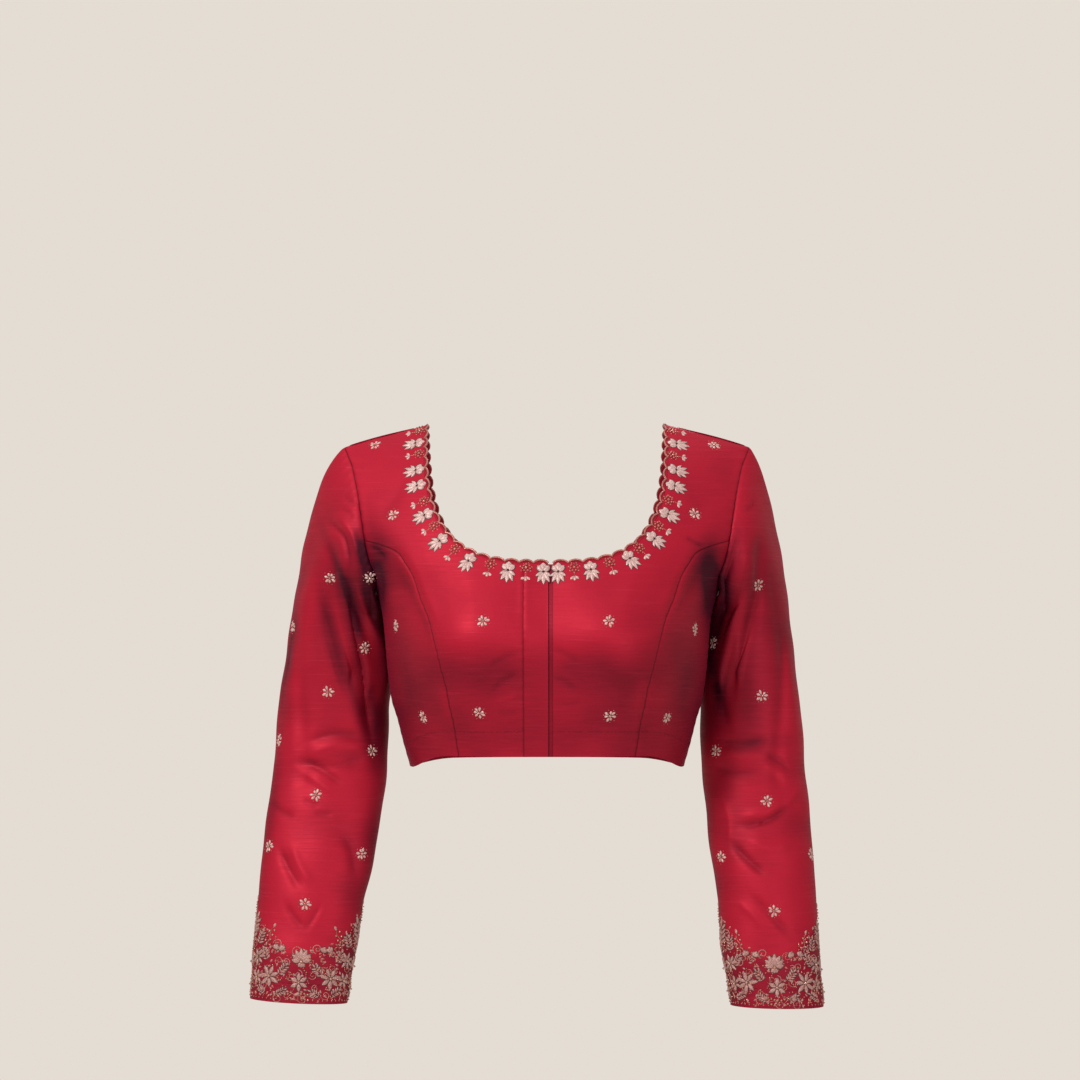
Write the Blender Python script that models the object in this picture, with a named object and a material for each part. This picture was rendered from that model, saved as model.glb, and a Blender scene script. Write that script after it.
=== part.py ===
"""Choli blouse: a fitted, cropped blouse of shot raw silk with long set-in sleeves.

Every piece that a maker cuts is a wall of cloth of its own: two centre fronts, two side fronts,
one back, two sleeves, the two strips of the front opening and a scalloped neck edging.
Metres, +Z up. The front faces -Y and the wearer's right is at -X. The origin lies midway
between the two points where the shoulder seams meet the neck.
"""
import math
from collections import namedtuple

import bpy
import numpy as np

# Cloth
WALL = 0.0015
SEAM_GAP = 0.0003
CLOTH_COLOUR = (0.42, 0.022, 0.045, 1.0)
TRIM_COLOUR = (0.60, 0.36, 0.27, 1.0)

# Figure that the cut is shaped for
SECTION_POWER = 2.5
SIDE_PLANE = 0.012
SHOULDER_SLOPE = 0.268
SLOPE_HOLD = 0.030
SLOPE_FADE = 0.155
BUST_OUT = 0.082
BUST_DROP = 0.208
BUST_FULLNESS = 0.020
BUST_SPREAD = 0.042
BUST_TALL = 0.045

# Neck, front opening and hem
RIDGE_START = 0.1140
NECK_DEPTH = 0.1348
BACK_NECK_DEPTH = 0.1350
NECK_POWER_ACROSS = 3.1
NECK_POWER_DOWN = 3.1
OVERLAP_SEAM = -0.0215
OVERLAP_EDGE = 0.0010
LEFT_FRONT_EDGE = 0.0055
UNDERLAP_LEFT = 0.0085
UNDERLAP_RIGHT = -0.0165
HEM_FRONT = 0.3125
HEM_SIDE = 0.3250
HEM_BACK = 0.3200
HEM_LEVEL_SHARE = 0.50
HEM_LOW_SHARE = 0.88
SHOULDER_TIP = 0.193
PRINCESS_TOP_DROP = 0.112
PRINCESS_SPLIT = 0.45
NECK_SPLIT = 0.42
BACK_ARMHOLE_SPLIT = 0.55
RIDGE_EASE = 1.5

# Scalloped neck edging
SCALLOP_PITCH = 0.0138
SCALLOP_DEPTH = 0.0030
EDGING_WIDTH = 0.0012
EDGING_RISE = 0.0006

Width = namedtuple("Width", "drop half_width")
WIDTHS = (
    Width(0.000, 0.2150),
    Width(0.050, 0.2120),
    Width(0.090, 0.2040),
    Width(0.110, 0.1960),
    Width(0.130, 0.1835),
    Width(0.148, 0.1695),
    Width(0.158, 0.1635),
    Width(0.167, 0.1606),
    Width(0.183, 0.1565),
    Width(0.203, 0.1545),
    Width(0.233, 0.1520),
    Width(0.262, 0.1480),
    Width(0.280, 0.1425),
    Width(0.300, 0.1375),
    Width(0.330, 0.1290),
)

Depth = namedtuple("Depth", "drop front back")
DEPTHS = (
    Depth(0.000, 0.000, 0.000),
    Depth(0.005, 0.014, 0.014),
    Depth(0.020, 0.034, 0.034),
    Depth(0.050, 0.063, 0.060),
    Depth(0.100, 0.099, 0.083),
    Depth(0.155, 0.126, 0.095),
    Depth(0.205, 0.141, 0.097),
    Depth(0.260, 0.132, 0.091),
    Depth(0.312, 0.119, 0.086),
    Depth(0.340, 0.114, 0.084),
)

Seam = namedtuple("Seam", "drop reach")
PRINCESS = (
    Seam(0.1165, 0.1550),
    Seam(0.1255, 0.1375),
    Seam(0.1425, 0.1265),
    Seam(0.1575, 0.1205),
    Seam(0.1900, 0.1080),
    Seam(0.2320, 0.0975),
    Seam(0.2540, 0.0920),
    Seam(0.2850, 0.0860),
    Seam(0.3125, 0.0820),
)

Scye = namedtuple("Scye", "drop across")
ARMHOLE = (
    Scye(0.0450, 0.690),
    Scye(0.0700, 0.676),
    Scye(0.0900, 0.680),
    Scye(0.1100, 0.702),
    Scye(0.1300, 0.749),
    Scye(0.1480, 0.815),
    Scye(0.1555, 0.900),
    Scye(0.1580, 1.000),
)

# Places in the middle of the armhole and inside the sleeve, on the wearer's left
SCYE_MIDDLE = (0.170, 0.020, -0.090)
SLEEVE_SIDE = (0.240, 0.020, -0.090)

SleeveRing = namedtuple("SleeveRing", "drop girth right_centre right_half left_centre left_half back")
SLEEVE_RINGS = (
    SleeveRing(0.205, 0.302, 0.2015, 0.0480, 0.1955, 0.0410, 0.048),
    SleeveRing(0.250, 0.300, 0.2045, 0.0520, 0.1957, 0.0462, 0.047),
    SleeveRing(0.287, 0.296, 0.2060, 0.0535, 0.1965, 0.0488, 0.044),
    SleeveRing(0.331, 0.290, 0.2085, 0.0550, 0.1985, 0.0498, 0.036),
    SleeveRing(0.379, 0.280, 0.2142, 0.0542, 0.2026, 0.0494, 0.022),
    SleeveRing(0.407, 0.275, 0.2175, 0.0535, 0.2049, 0.0487, 0.014),
    SleeveRing(0.450, 0.263, 0.2242, 0.0505, 0.2088, 0.0473, 0.003),
    SleeveRing(0.490, 0.254, 0.2285, 0.0487, 0.2111, 0.0461, -0.006),
    SleeveRing(0.548, 0.240, 0.2355, 0.0452, 0.2174, 0.0437, -0.016),
)

# The wearer's two sides, which hang a little differently
Cut = namedtuple("Cut", "side neck_half cuff_drop cuff_tilt head_out head_down")
CUTS = {
    "right": Cut(-1, 0.1165, 0.5457, 0.050, 0.75, 0.66),
    "left": Cut(1, 0.1145, 0.5505, -0.015, 0.55, 0.835),
}

# How the sleeve's cloth leaves the armhole, by share of the way from the shoulder to the underarm.
# A cut's own head_out and head_down take the place of the first row's.
Leaving = namedtuple("Leaving", "share out down")
LEAVING = (
    Leaving(0.00, 0.65, 0.75),
    Leaving(0.35, 0.72, 0.62),
    Leaving(0.70, 0.60, 0.80),
    Leaving(1.00, 0.35, 0.94),
)
LEAVING_FORWARD = 0.22

# Lengths over which the sleeve head turns from that direction into the sleeve's own
Handle = namedtuple("Handle", "share early late")
HANDLES = (
    Handle(0.0, 0.045, 0.070),
    Handle(0.5, 0.036, 0.055),
    Handle(0.8, 0.020, 0.030),
    Handle(1.0, 0.010, 0.018),
)

Fold = namedtuple("Fold", "turn_top turn_low drop_top drop_low half_width lift")
SLEEVE_FOLDS = (
    Fold(60.0, 112.0, 0.100, 0.235, 9.0, -0.0035),
    Fold(84.0, 128.0, 0.110, 0.250, 8.0, 0.0025),
    Fold(40.0, 66.0, 0.190, 0.330, 9.0, -0.0020),
    Fold(232.0, 250.0, 0.110, 0.260, 10.0, -0.0025),
    Fold(285.0, 300.0, 0.180, 0.340, 10.0, -0.0020),
)
FOLD_EASE = 0.030

# Mesh counts
CENTRE_ROWS = 8
CENTRE_COLUMNS = 9
BACK_ROWS = 9
BACK_SIDE_ROWS = 7
BACK_COLUMNS = 13
ARMHOLE_UPPER = 8
ARMHOLE_LOWER = 7
HEAD_RINGS = 8
ARM_RINGS = 12
SCALLOP_STEPS = 5
CURVE_POINTS = 400


def clear_scene():
    for thing in list(bpy.data.objects):
        bpy.data.objects.remove(thing, do_unlink=True)


def smooth_curve(places, values, at):
    """Monotone cubic curve through a table's rows."""
    places = np.asarray(places, float)
    values = np.asarray(values, float)
    steps = np.diff(places)
    slopes = np.diff(values) / steps
    tangents = np.empty(len(places))
    tangents[0] = slopes[0]
    tangents[-1] = slopes[-1]
    product = slopes[:-1] * slopes[1:]
    total = slopes[:-1] + slopes[1:]
    safe = np.where(product > 0, total, 1.0)
    tangents[1:-1] = np.where(product > 0, 2 * product / safe, 0.0)
    at = np.clip(np.asarray(at, float), places[0], places[-1])
    cell = np.clip(np.searchsorted(places, at, side="right") - 1, 0, len(steps) - 1)
    t = (at - places[cell]) / steps[cell]
    start, end = values[cell], values[cell + 1]
    lead, trail = tangents[cell] * steps[cell], tangents[cell + 1] * steps[cell]
    return (
        start * (1 + 2 * t) * (1 - t) ** 2
        + lead * t * (1 - t) ** 2
        + end * t * t * (3 - 2 * t)
        + trail * t * t * (t - 1)
    )


def column(rows, name):
    return [getattr(row, name) for row in rows]


def smoothstep(value):
    value = np.clip(value, 0.0, 1.0)
    return value * value * (3 - 2 * value)


def half_width(height):
    return smooth_curve(column(WIDTHS, "drop"), column(WIDTHS, "half_width"), -height)


def ridge_drop(reach):
    """How far the shoulder line has fallen at this distance from the centre."""
    return SHOULDER_SLOPE * np.maximum(np.abs(reach) - RIDGE_START, 0.0)


def depth_from_side(reach, height, face):
    """Depth of the section's middle, measured from the plane of the side seams."""
    fade = 1 - smoothstep((-height - SLOPE_HOLD) / (SLOPE_FADE - SLOPE_HOLD))
    below = np.maximum(-height - ridge_drop(reach) * fade, 0.0)
    places = np.sqrt(column(DEPTHS, "drop"))
    return smooth_curve(places, column(DEPTHS, face), np.sqrt(below))


def bust_fullness(reach, height):
    across = np.exp(-(((np.abs(reach) - BUST_OUT) / BUST_SPREAD) ** 2) / 2)
    down = np.exp(-(((-height - BUST_DROP) / BUST_TALL) ** 2) / 2)
    return BUST_FULLNESS * across * down


def body_point(across, height, face):
    """Point of the figure's surface. across runs from 0 at the centre line to 1 at the side seam."""
    across, height = np.broadcast_arrays(np.asarray(across, float), np.asarray(height, float))
    turn = math.pi / 2 * np.abs(across) ** (SECTION_POWER / 2)
    reach = half_width(height) * np.sin(turn) ** (2 / SECTION_POWER)
    rise = np.cos(turn)
    depth = depth_from_side(reach, height, face) * rise
    if face == "front":
        depth = depth + bust_fullness(reach, height) * (1 - (1 - rise) ** 3)
        depth = -depth
    return np.stack([np.sign(across) * reach, SIDE_PLANE + depth, height], axis=-1)


def across_at(reach, height):
    """The across value whose point lies at this distance from the centre plane."""
    share = np.clip(np.abs(reach) / half_width(height), 0.0, 1.0)
    turn = np.arcsin(share ** (SECTION_POWER / 2))
    return np.sign(reach) * (turn / (math.pi / 2)) ** (2 / SECTION_POWER)


def unit(vectors):
    length = np.linalg.norm(vectors, axis=-1, keepdims=True)
    return vectors / np.maximum(length, 1e-12)


def body_normal(across, height, face):
    step = 2e-4
    sideways = body_point(across + step, height, face) - body_point(across - step, height, face)
    low = np.minimum(height, -step)
    downward = body_point(across, low - step, face) - body_point(across, low + step, face)
    normal = np.cross(sideways, downward)
    return unit(-normal if face == "front" else normal)


def travelled(line):
    """Share of a line's length at each of its points. A flat line holds across and height."""
    sizes = np.diff(line[:, :3], axis=0)
    if line.shape[1] == 2:
        sizes = sizes * (SHOULDER_TIP, 1.0)
    steps = np.linalg.norm(sizes, axis=1)
    return np.concatenate([[0], np.cumsum(steps)]) / steps.sum()


def evenly(line, shares):
    """Points at the given shares of a dense line's length, or that many at even distances."""
    if np.isscalar(shares):
        shares = np.linspace(0, 1, int(shares))
    at = travelled(line)
    return np.stack([np.interp(shares, at, values) for values in line.T], axis=1)


def smooth_line(across, heights):
    """Dense smooth line through a table's points."""
    line = np.stack([across, heights], axis=1)
    at = travelled(line)
    dense = np.linspace(0, 1, CURVE_POINTS)
    return np.stack([smooth_curve(at, line[:, 0], dense), smooth_curve(at, line[:, 1], dense)], axis=1)


def neck_line(face, cut, start=0.0):
    """Neck edge on one side from the centre, or from the reach start, up to the shoulder seam."""
    depth = NECK_DEPTH if face == "front" else BACK_NECK_DEPTH
    top = -ridge_drop(cut.neck_half)
    turn = np.linspace(0, math.pi / 2, CURVE_POINTS)
    reach = cut.neck_half * np.sin(turn) ** (2 / NECK_POWER_ACROSS)
    height = top - (depth + top) * np.cos(turn) ** (2 / NECK_POWER_DOWN)
    if start > 0:
        first = np.interp(start, reach, height)
        keep = reach > start
        reach = np.concatenate([[start], reach[keep]])
        height = np.concatenate([[first], height[keep]])
    return np.stack([across_at(reach, height), height], axis=1)


def armhole_line():
    """Armhole from the shoulder tip down to the side seam, as across and height."""
    tip_height = -float(ridge_drop(SHOULDER_TIP))
    tip_across = float(across_at(SHOULDER_TIP, tip_height))
    heights = np.array([tip_height] + [-row.drop for row in ARMHOLE])
    across = np.array([tip_across] + column(ARMHOLE, "across"))
    return smooth_line(across, heights)


def princess_share():
    """Share of the armhole, from the shoulder tip, at which the princess seam meets it."""
    line = armhole_line()
    return float(np.interp(PRINCESS_TOP_DROP, -line[:, 1], travelled(line)))


def armhole_stations(face, detail=1):
    """Shares of the armhole, from tip to side seam, at which all its pieces have their points."""
    middle = princess_share() if face == "front" else BACK_ARMHOLE_SPLIT
    upper = middle * np.linspace(0, 1, ARMHOLE_UPPER * detail + 1) ** RIDGE_EASE
    lower = np.linspace(middle, 1, ARMHOLE_LOWER * detail + 1)
    return np.concatenate([upper, lower[1:]])


def princess_stations():
    lower = np.linspace(0, PRINCESS_SPLIT, CENTRE_ROWS + 1)
    upper = np.linspace(PRINCESS_SPLIT, 1, ARMHOLE_LOWER + 1)
    return np.concatenate([lower, upper[1:]])


def princess_line():
    """Princess seam from the hem up to the armhole."""
    top = evenly(armhole_line(), [princess_share()])[0]
    drops = np.array(column(PRINCESS, "drop"))[::-1]
    reaches = np.array(column(PRINCESS, "reach"))[::-1]
    across = across_at(reaches, -drops)
    heights = np.concatenate([-drops, [top[1]]])
    across = np.concatenate([across, [top[0]]])
    return smooth_line(across, heights)


def hem_height(across, face):
    """The hem runs level across the middle and dips towards the side seams."""
    middle = HEM_FRONT if face == "front" else HEM_BACK
    share = (np.abs(across) - HEM_LEVEL_SHARE) / (HEM_LOW_SHARE - HEM_LEVEL_SHARE)
    return -(middle + (HEM_SIDE - middle) * smoothstep(share))


def hem_line(start, end, face):
    across = np.linspace(start, end, CURVE_POINTS)
    return np.stack([across, hem_height(across, face)], axis=1)


def straight(start, end):
    share = np.linspace(0, 1, CURVE_POINTS)[:, None]
    return np.asarray(start) * (1 - share) + np.asarray(end) * share


def join(*lines):
    kept = [lines[0]] + [line[1:] for line in lines[1:]]
    return np.concatenate(kept)


def coons(left, right, bottom, top):
    """Grid of across and height values between four edges."""
    rows, columns = len(left), len(bottom)
    v = np.linspace(0, 1, rows)[:, None, None]
    u = np.linspace(0, 1, columns)[None, :, None]
    ruled = (1 - u) * left[:, None] + u * right[:, None]
    raised = (1 - v) * bottom[None] + v * top[None]
    corners = (
        (1 - u) * (1 - v) * bottom[0]
        + u * (1 - v) * bottom[-1]
        + (1 - u) * v * top[0]
        + u * v * top[-1]
    )
    return ruled + raised - corners


def neck_side(edge, bottom, neck, upright_rows, neck_rows):
    """Points up an upright edge at a fixed distance from the centre, then round the neck."""
    height = np.linspace(bottom, neck[0, 1], upright_rows + 1)
    lower = np.stack([across_at(edge, height), height], axis=1)
    shares = np.linspace(0, NECK_SPLIT, neck_rows + 1)
    rest = NECK_SPLIT + (1 - NECK_SPLIT) * (1 - np.linspace(1, 0, ARMHOLE_UPPER + 1) ** RIDGE_EASE)
    return join(lower, evenly(neck, shares), evenly(neck, rest))


def centre_front_grid(cut, edge):
    """Centre front from the opening's edge to the princess seam and the armhole."""
    neck = neck_line("front", cut, edge)
    left = neck_side(edge, -HEM_FRONT, neck, CENTRE_ROWS, ARMHOLE_LOWER)
    princess = evenly(princess_line(), princess_stations())
    upper = evenly(armhole_line(), armhole_stations("front")[: ARMHOLE_UPPER + 1])
    right = join(princess, upper[::-1])
    bottom = evenly(hem_line(left[0, 0], right[0, 0], "front"), CENTRE_COLUMNS + 1)
    top = evenly(straight(left[-1], right[-1]), CENTRE_COLUMNS + 1)
    return meet_corners(left, right, bottom, top)


def side_front_grid():
    """Side front from the princess seam to the side seam."""
    left = evenly(princess_line(), princess_stations())
    top = evenly(armhole_line(), armhole_stations("front")[ARMHOLE_UPPER:])
    right = evenly(straight((1.0, -HEM_SIDE), top[-1]), len(left))
    bottom = evenly(hem_line(left[0, 0], 1.0, "front"), ARMHOLE_LOWER + 1)
    return meet_corners(left, right, bottom, top)


def half_back_grid(cut):
    """Half of the back, from the centre to the side seam."""
    neck_rows = ARMHOLE_LOWER + BACK_SIDE_ROWS - BACK_ROWS
    left = neck_side(0.0, -HEM_BACK, neck_line("back", cut), BACK_ROWS, neck_rows)
    armhole = evenly(armhole_line(), armhole_stations("back"))[::-1]
    side = evenly(straight((1.0, -HEM_SIDE), armhole[0]), BACK_SIDE_ROWS + 1)
    right = join(side, armhole)
    bottom = evenly(hem_line(0, 1, "back"), BACK_COLUMNS + 1)
    top = evenly(straight(left[-1], right[-1]), BACK_COLUMNS + 1)
    return meet_corners(left, right, bottom, top)


def meet_corners(left, right, bottom, top):
    bottom[0], bottom[-1] = left[0], right[0]
    top[0], top[-1] = left[-1], right[-1]
    return coons(left, right, bottom, top)


def both_faces(front, back):
    """Values round a whole armhole: down its front from the shoulder tip and up its back."""
    return np.concatenate([front, back[-2:0:-1]])


def one_face(values, face):
    """The front's or the back's share of values that run round a whole armhole."""
    turned = values if face == "front" else np.roll(values[::-1], 1, axis=0)
    return turned[: len(values) // 2 + 1]


def armhole_seam(cut, detail=1):
    """Points round an armhole with the directions across the seam, outward and down the sleeve."""
    shares = {face: armhole_stations(face, detail) for face in ("front", "back")}
    points, normals, leave = [], [], []
    for face in ("front", "back"):
        line = evenly(armhole_line(), shares[face])
        points.append(body_point(line[:, 0] * cut.side, line[:, 1], face))
        normals.append(body_normal(line[:, 0] * cut.side, line[:, 1], face))
        leave.append(leaving(cut, face, shares[face]))
    for end in (0, -1):
        shared = unit(normals[0][end] + normals[1][end])
        normals[0][end] = normals[1][end] = shared
    points, normals, leave = both_faces(*points), both_faces(*normals), both_faces(*leave)
    along = unit(np.roll(points, -1, axis=0) - np.roll(points, 1, axis=0))
    onward = facing(np.cross(normals, along), side_place(cut, SLEEVE_SIDE) - points)
    crossing = unit(onward + leave)
    crossing = unit(crossing - along * dots(crossing, along))
    outward = facing(np.cross(along, crossing), points - side_place(cut, SCYE_MIDDLE))
    return points, crossing, outward, leave


def dots(first, second):
    return np.einsum("ij,ij->i", first, second)[:, None]


def facing(vectors, towards):
    """The vectors, each turned round if need be to point along its partner."""
    return vectors * np.sign(dots(vectors, towards))


def side_place(cut, place):
    return np.array([cut.side * place[0], *place[1:]])


def leaving(cut, face, shares):
    """Direction in which the sleeve's cloth leaves the armhole seam."""
    out = smooth_curve(column(LEAVING, "share"), [cut.head_out, *column(LEAVING, "out")[1:]], shares)
    down = smooth_curve(column(LEAVING, "share"), [cut.head_down, *column(LEAVING, "down")[1:]], shares)
    forward = LEAVING_FORWARD * np.sin(shares * math.pi) * (-1 if face == "front" else 1)
    return unit(np.stack([cut.side * out, forward, -down], axis=1))


def sleeve_section(cut, turns, drop):
    """Ring of the sleeve below the armhole. Turn 0 is its outer side and 90 degrees its front."""
    drops = column(SLEEVE_RINGS, "drop")
    name = "right" if cut.side < 0 else "left"
    centre = smooth_curve(drops, column(SLEEVE_RINGS, name + "_centre"), drop)
    wide = smooth_curve(drops, column(SLEEVE_RINGS, name + "_half"), drop)
    girth = smooth_curve(drops, column(SLEEVE_RINGS, "girth"), drop)
    back = smooth_curve(drops, column(SLEEVE_RINGS, "back"), drop)
    deep = np.sqrt(2 * (girth / math.tau) ** 2 - wide**2)
    reach = centre + wide * np.cos(turns)
    depth = back - deep * np.sin(turns)
    lean = cut.cuff_tilt * smoothstep((drop - 0.30) / 0.20) * wide * np.cos(turns)
    return np.stack([cut.side * reach, depth, lean - drop + np.zeros_like(reach)], axis=-1)


def sleeve_turns(detail=1):
    """Angle of each lengthwise line of a sleeve, eased to match the armhole's points."""
    shares = [armhole_stations(face, detail) for face in ("front", "back")]
    even = np.linspace(0, 1, len(shares[0]))
    front, back = [math.pi * (even + share) / 2 for share in shares]
    return both_faces(front, math.tau - back)


def sleeve_rings(cut, head_rings, arm_rings, detail=1):
    """Rings from the armhole to the cuff, and the outward directions of the first ring."""
    points, crossing, outward, leave = armhole_seam(cut, detail)
    around = both_faces(armhole_stations("front", detail), armhole_stations("back", detail))
    turns = sleeve_turns(detail)
    first_drop = SLEEVE_RINGS[0].drop
    start = points + crossing * SEAM_GAP / 2
    end = sleeve_section(cut, turns, first_drop)
    onward = unit(sleeve_section(cut, turns, first_drop + 0.01) - end)
    share = column(HANDLES, "share")
    early = smooth_curve(share, column(HANDLES, "early"), around)[:, None]
    late = smooth_curve(share, column(HANDLES, "late"), around)[:, None]
    near, far = start + leave * early, end - onward * late
    rings = []
    for t in np.linspace(0, 1, head_rings + 1):
        rings.append(
            start * (1 - t) ** 3
            + 3 * near * t * (1 - t) ** 2
            + 3 * far * t * t * (1 - t)
            + end * t**3
        )
    for drop in np.linspace(first_drop, cut.cuff_drop, arm_rings + 1)[1:]:
        rings.append(sleeve_section(cut, turns, drop))
    return np.array(rings), outward


def ring_normals(rings):
    around = np.roll(rings, -1, axis=1) - np.roll(rings, 1, axis=1)
    down = np.gradient(rings, axis=0)
    normal = unit(np.cross(around, down))
    middle = rings.mean(axis=1, keepdims=True)
    facing = np.einsum("ijk,ijk->ij", normal, rings - middle)
    return normal if facing.sum() > 0 else -normal


def fold_lift(turns, drops, start):
    """Height of the soft folds at each turn in degrees and each drop."""
    lift = np.zeros(np.broadcast(turns, drops).shape)
    for fold in SLEEVE_FOLDS:
        share = np.clip((drops - fold.drop_top) / (fold.drop_low - fold.drop_top), 0, 1)
        centre = fold.turn_top + (fold.turn_low - fold.turn_top) * share
        away = (turns - centre + 180) % 360 - 180
        across = np.exp(-((away / fold.half_width) ** 2))
        ends = smoothstep((drops - fold.drop_top) / FOLD_EASE) * smoothstep(
            (fold.drop_low + FOLD_EASE - drops) / FOLD_EASE
        )
        lift += fold.lift * across * ends
    return lift * start


def folded_sleeve(cut, head_rings, arm_rings, detail=1):
    rings, seam_outward = sleeve_rings(cut, head_rings, arm_rings, detail)
    normals = ring_normals(rings)
    turns = np.degrees(sleeve_turns(detail))[None, :]
    seam_hold = smoothstep(np.arange(len(rings)) / (head_rings / 2))[:, None]
    lift = fold_lift(turns, -rings[..., 2], seam_hold)
    rings = rings + normals * lift[..., None]
    normals = ring_normals(rings)
    normals[0] = seam_outward
    return rings, normals


def inset(points, side, amount):
    """Move one edge of a grid inwards, square to the seam."""
    turned = {"first_row": points, "last_row": points[::-1]}.get(side)
    if turned is None:
        flipped = np.swapaxes(points, 0, 1)
        turned = flipped if side == "first_column" else flipped[::-1]
    along = unit(np.gradient(turned[0], axis=0))
    inward = turned[1] - turned[0]
    inward = unit(inward - along * np.einsum("ij,ij->i", inward, along)[:, None])
    turned[0] += inward * amount


def add_object(name, vertices, faces, colour):
    mesh = bpy.data.meshes.new(name)
    mesh.from_pydata([tuple(map(float, v)) for v in vertices], [], faces)
    mesh.validate()
    thing = bpy.data.objects.new(name, mesh)
    bpy.context.scene.collection.objects.link(thing)
    material = bpy.data.materials.new(name + "_finish")
    material.use_nodes = True
    shader = material.node_tree.nodes["Principled BSDF"]
    shader.inputs["Base Color"].default_value = colour
    shader.inputs["Roughness"].default_value = 0.45
    shader.inputs["Metallic"].default_value = 0.0
    mesh.materials.append(material)
    mesh.shade_smooth()
    mesh.set_sharp_from_angle(angle=math.radians(50))
    return thing


def wall(name, grids, colour=CLOTH_COLOUR, closed=False):
    """Closed wall between outer and inner grids of points. Points that coincide are shared.

    closed joins each row's ends into a ring.
    """
    outer_points, inner_points, places, faces = [], [], {}, []
    for outer, inner in grids:
        rows, columns = outer.shape[:2]
        index = np.empty((rows, columns), int)
        for i in range(rows):
            for j in range(columns):
                key = tuple(np.round(outer[i, j], 7))
                if key not in places:
                    places[key] = len(outer_points)
                    outer_points.append(outer[i, j])
                    inner_points.append(inner[i, j])
                index[i, j] = places[key]
        for i in range(rows - 1):
            for j in range(columns if closed else columns - 1):
                k = (j + 1) % columns
                faces.append((index[i, j], index[i, k], index[i + 1, k], index[i + 1, j]))
    back = len(outer_points)
    edges = {(face[n], face[(n + 1) % 4]) for face in faces for n in range(4)}
    rims = [(b, a, back + a, back + b) for a, b in edges if (b, a) not in edges]
    backs = [tuple(back + corner for corner in reversed(face)) for face in faces]
    vertices = np.array(outer_points + inner_points)
    faces = [tuple(map(int, face)) for face in faces + backs + sorted(rims)]
    if signed_volume(vertices, faces) < 0:
        faces = [face[::-1] for face in faces]
    return add_object(name, vertices, faces, colour)


def signed_volume(vertices, faces):
    total = 0.0
    for face in faces:
        for second, third in zip(face[1:-1], face[2:]):
            total += np.dot(vertices[face[0]], np.cross(vertices[second], vertices[third]))
    return total


def seat_armhole(points, normals, edge, cut, face, stations):
    """Set a panel's armhole edge back from the seam and give it the seam's own direction."""
    crossing, outward = [one_face(values, face) for values in armhole_seam(cut)[1:3]]
    points[edge] -= crossing[stations] * SEAM_GAP / 2
    normals[edge] = outward[stations]


def body_panel(grid, cut, face, seams, armhole):
    """Outer and inner points of a cloth wall over a grid of the figure.

    armhole pairs the grid's points on the armhole with the armhole's stations.
    """
    grid = grid * np.array([cut.side, 1.0])
    points = body_point(grid[..., 0], grid[..., 1], face)
    normals = body_normal(grid[..., 0], grid[..., 1], face)
    if "last_row" in seams:
        normals[-1] = (0.0, 0.0, 1.0)
    for side in seams:
        inset(points, side, SEAM_GAP / 2)
    edge, stations = armhole
    seat_armhole(points, normals, edge, cut, face, stations)
    return points, points - normals * WALL


def build_fronts():
    centres = {}
    upper = slice(ARMHOLE_UPPER, None, -1), slice(CENTRE_ROWS + ARMHOLE_LOWER, None)
    for name, edge in (("right", -OVERLAP_SEAM), ("left", LEFT_FRONT_EDGE)):
        cut = CUTS[name]
        armhole = ((upper[1], -1), upper[0])
        seams = ("first_column", "last_column", "last_row")
        centres[name] = body_panel(centre_front_grid(cut, edge), cut, "front", seams, armhole)
        wall("front_centre_" + name, [centres[name]])
        armhole = (-1, slice(ARMHOLE_UPPER, None))
        sides = body_panel(side_front_grid(), cut, "front", ("first_column", "last_column"), armhole)
        wall("front_side_" + name, [sides])
    return centres


def build_back():
    armhole = ((slice(BACK_SIDE_ROWS, None), -1), slice(None, None, -1))
    seams = ("last_column", "last_row")
    halves = [
        body_panel(half_back_grid(cut), cut, "back", seams, armhole) for cut in CUTS.values()
    ]
    right, left = halves
    wall("back", [tuple(points[:, ::-1] for points in right), left])
    return halves


def build_sleeves():
    for name, cut in CUTS.items():
        rings, normals = folded_sleeve(cut, HEAD_RINGS, ARM_RINGS)
        wall("sleeve_" + name, [(rings, rings - normals * WALL)], closed=True)


def strip(name, left, right, depth, columns):
    """Strip of the front opening between two distances from the centre plane."""
    reach = np.linspace(left, right, columns + 1)
    neck = neck_line("front", CUTS["right"])
    neck_reach = body_point(neck[:, 0], neck[:, 1], "front")[:, 0]
    top = np.interp(np.abs(reach), neck_reach, neck[:, 1])
    share = np.linspace(0, 1, CENTRE_ROWS + 1)[:, None]
    height = -HEM_FRONT * (1 - share) + top * share
    reach = np.broadcast_to(reach, height.shape)
    across = across_at(reach, height)
    points = body_point(across, height, "front")
    normals = body_normal(across, height, "front")
    outer = points - normals * depth
    inner = outer - normals * WALL
    wall(name, [(outer, inner)])
    return outer, inner


def build_placket():
    strip("placket_underlap", UNDERLAP_RIGHT, UNDERLAP_LEFT, WALL + 2 * SEAM_GAP, 3)
    return strip("placket_overlap", OVERLAP_SEAM + SEAM_GAP / 2, OVERLAP_EDGE, 0.0, 3)


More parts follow.
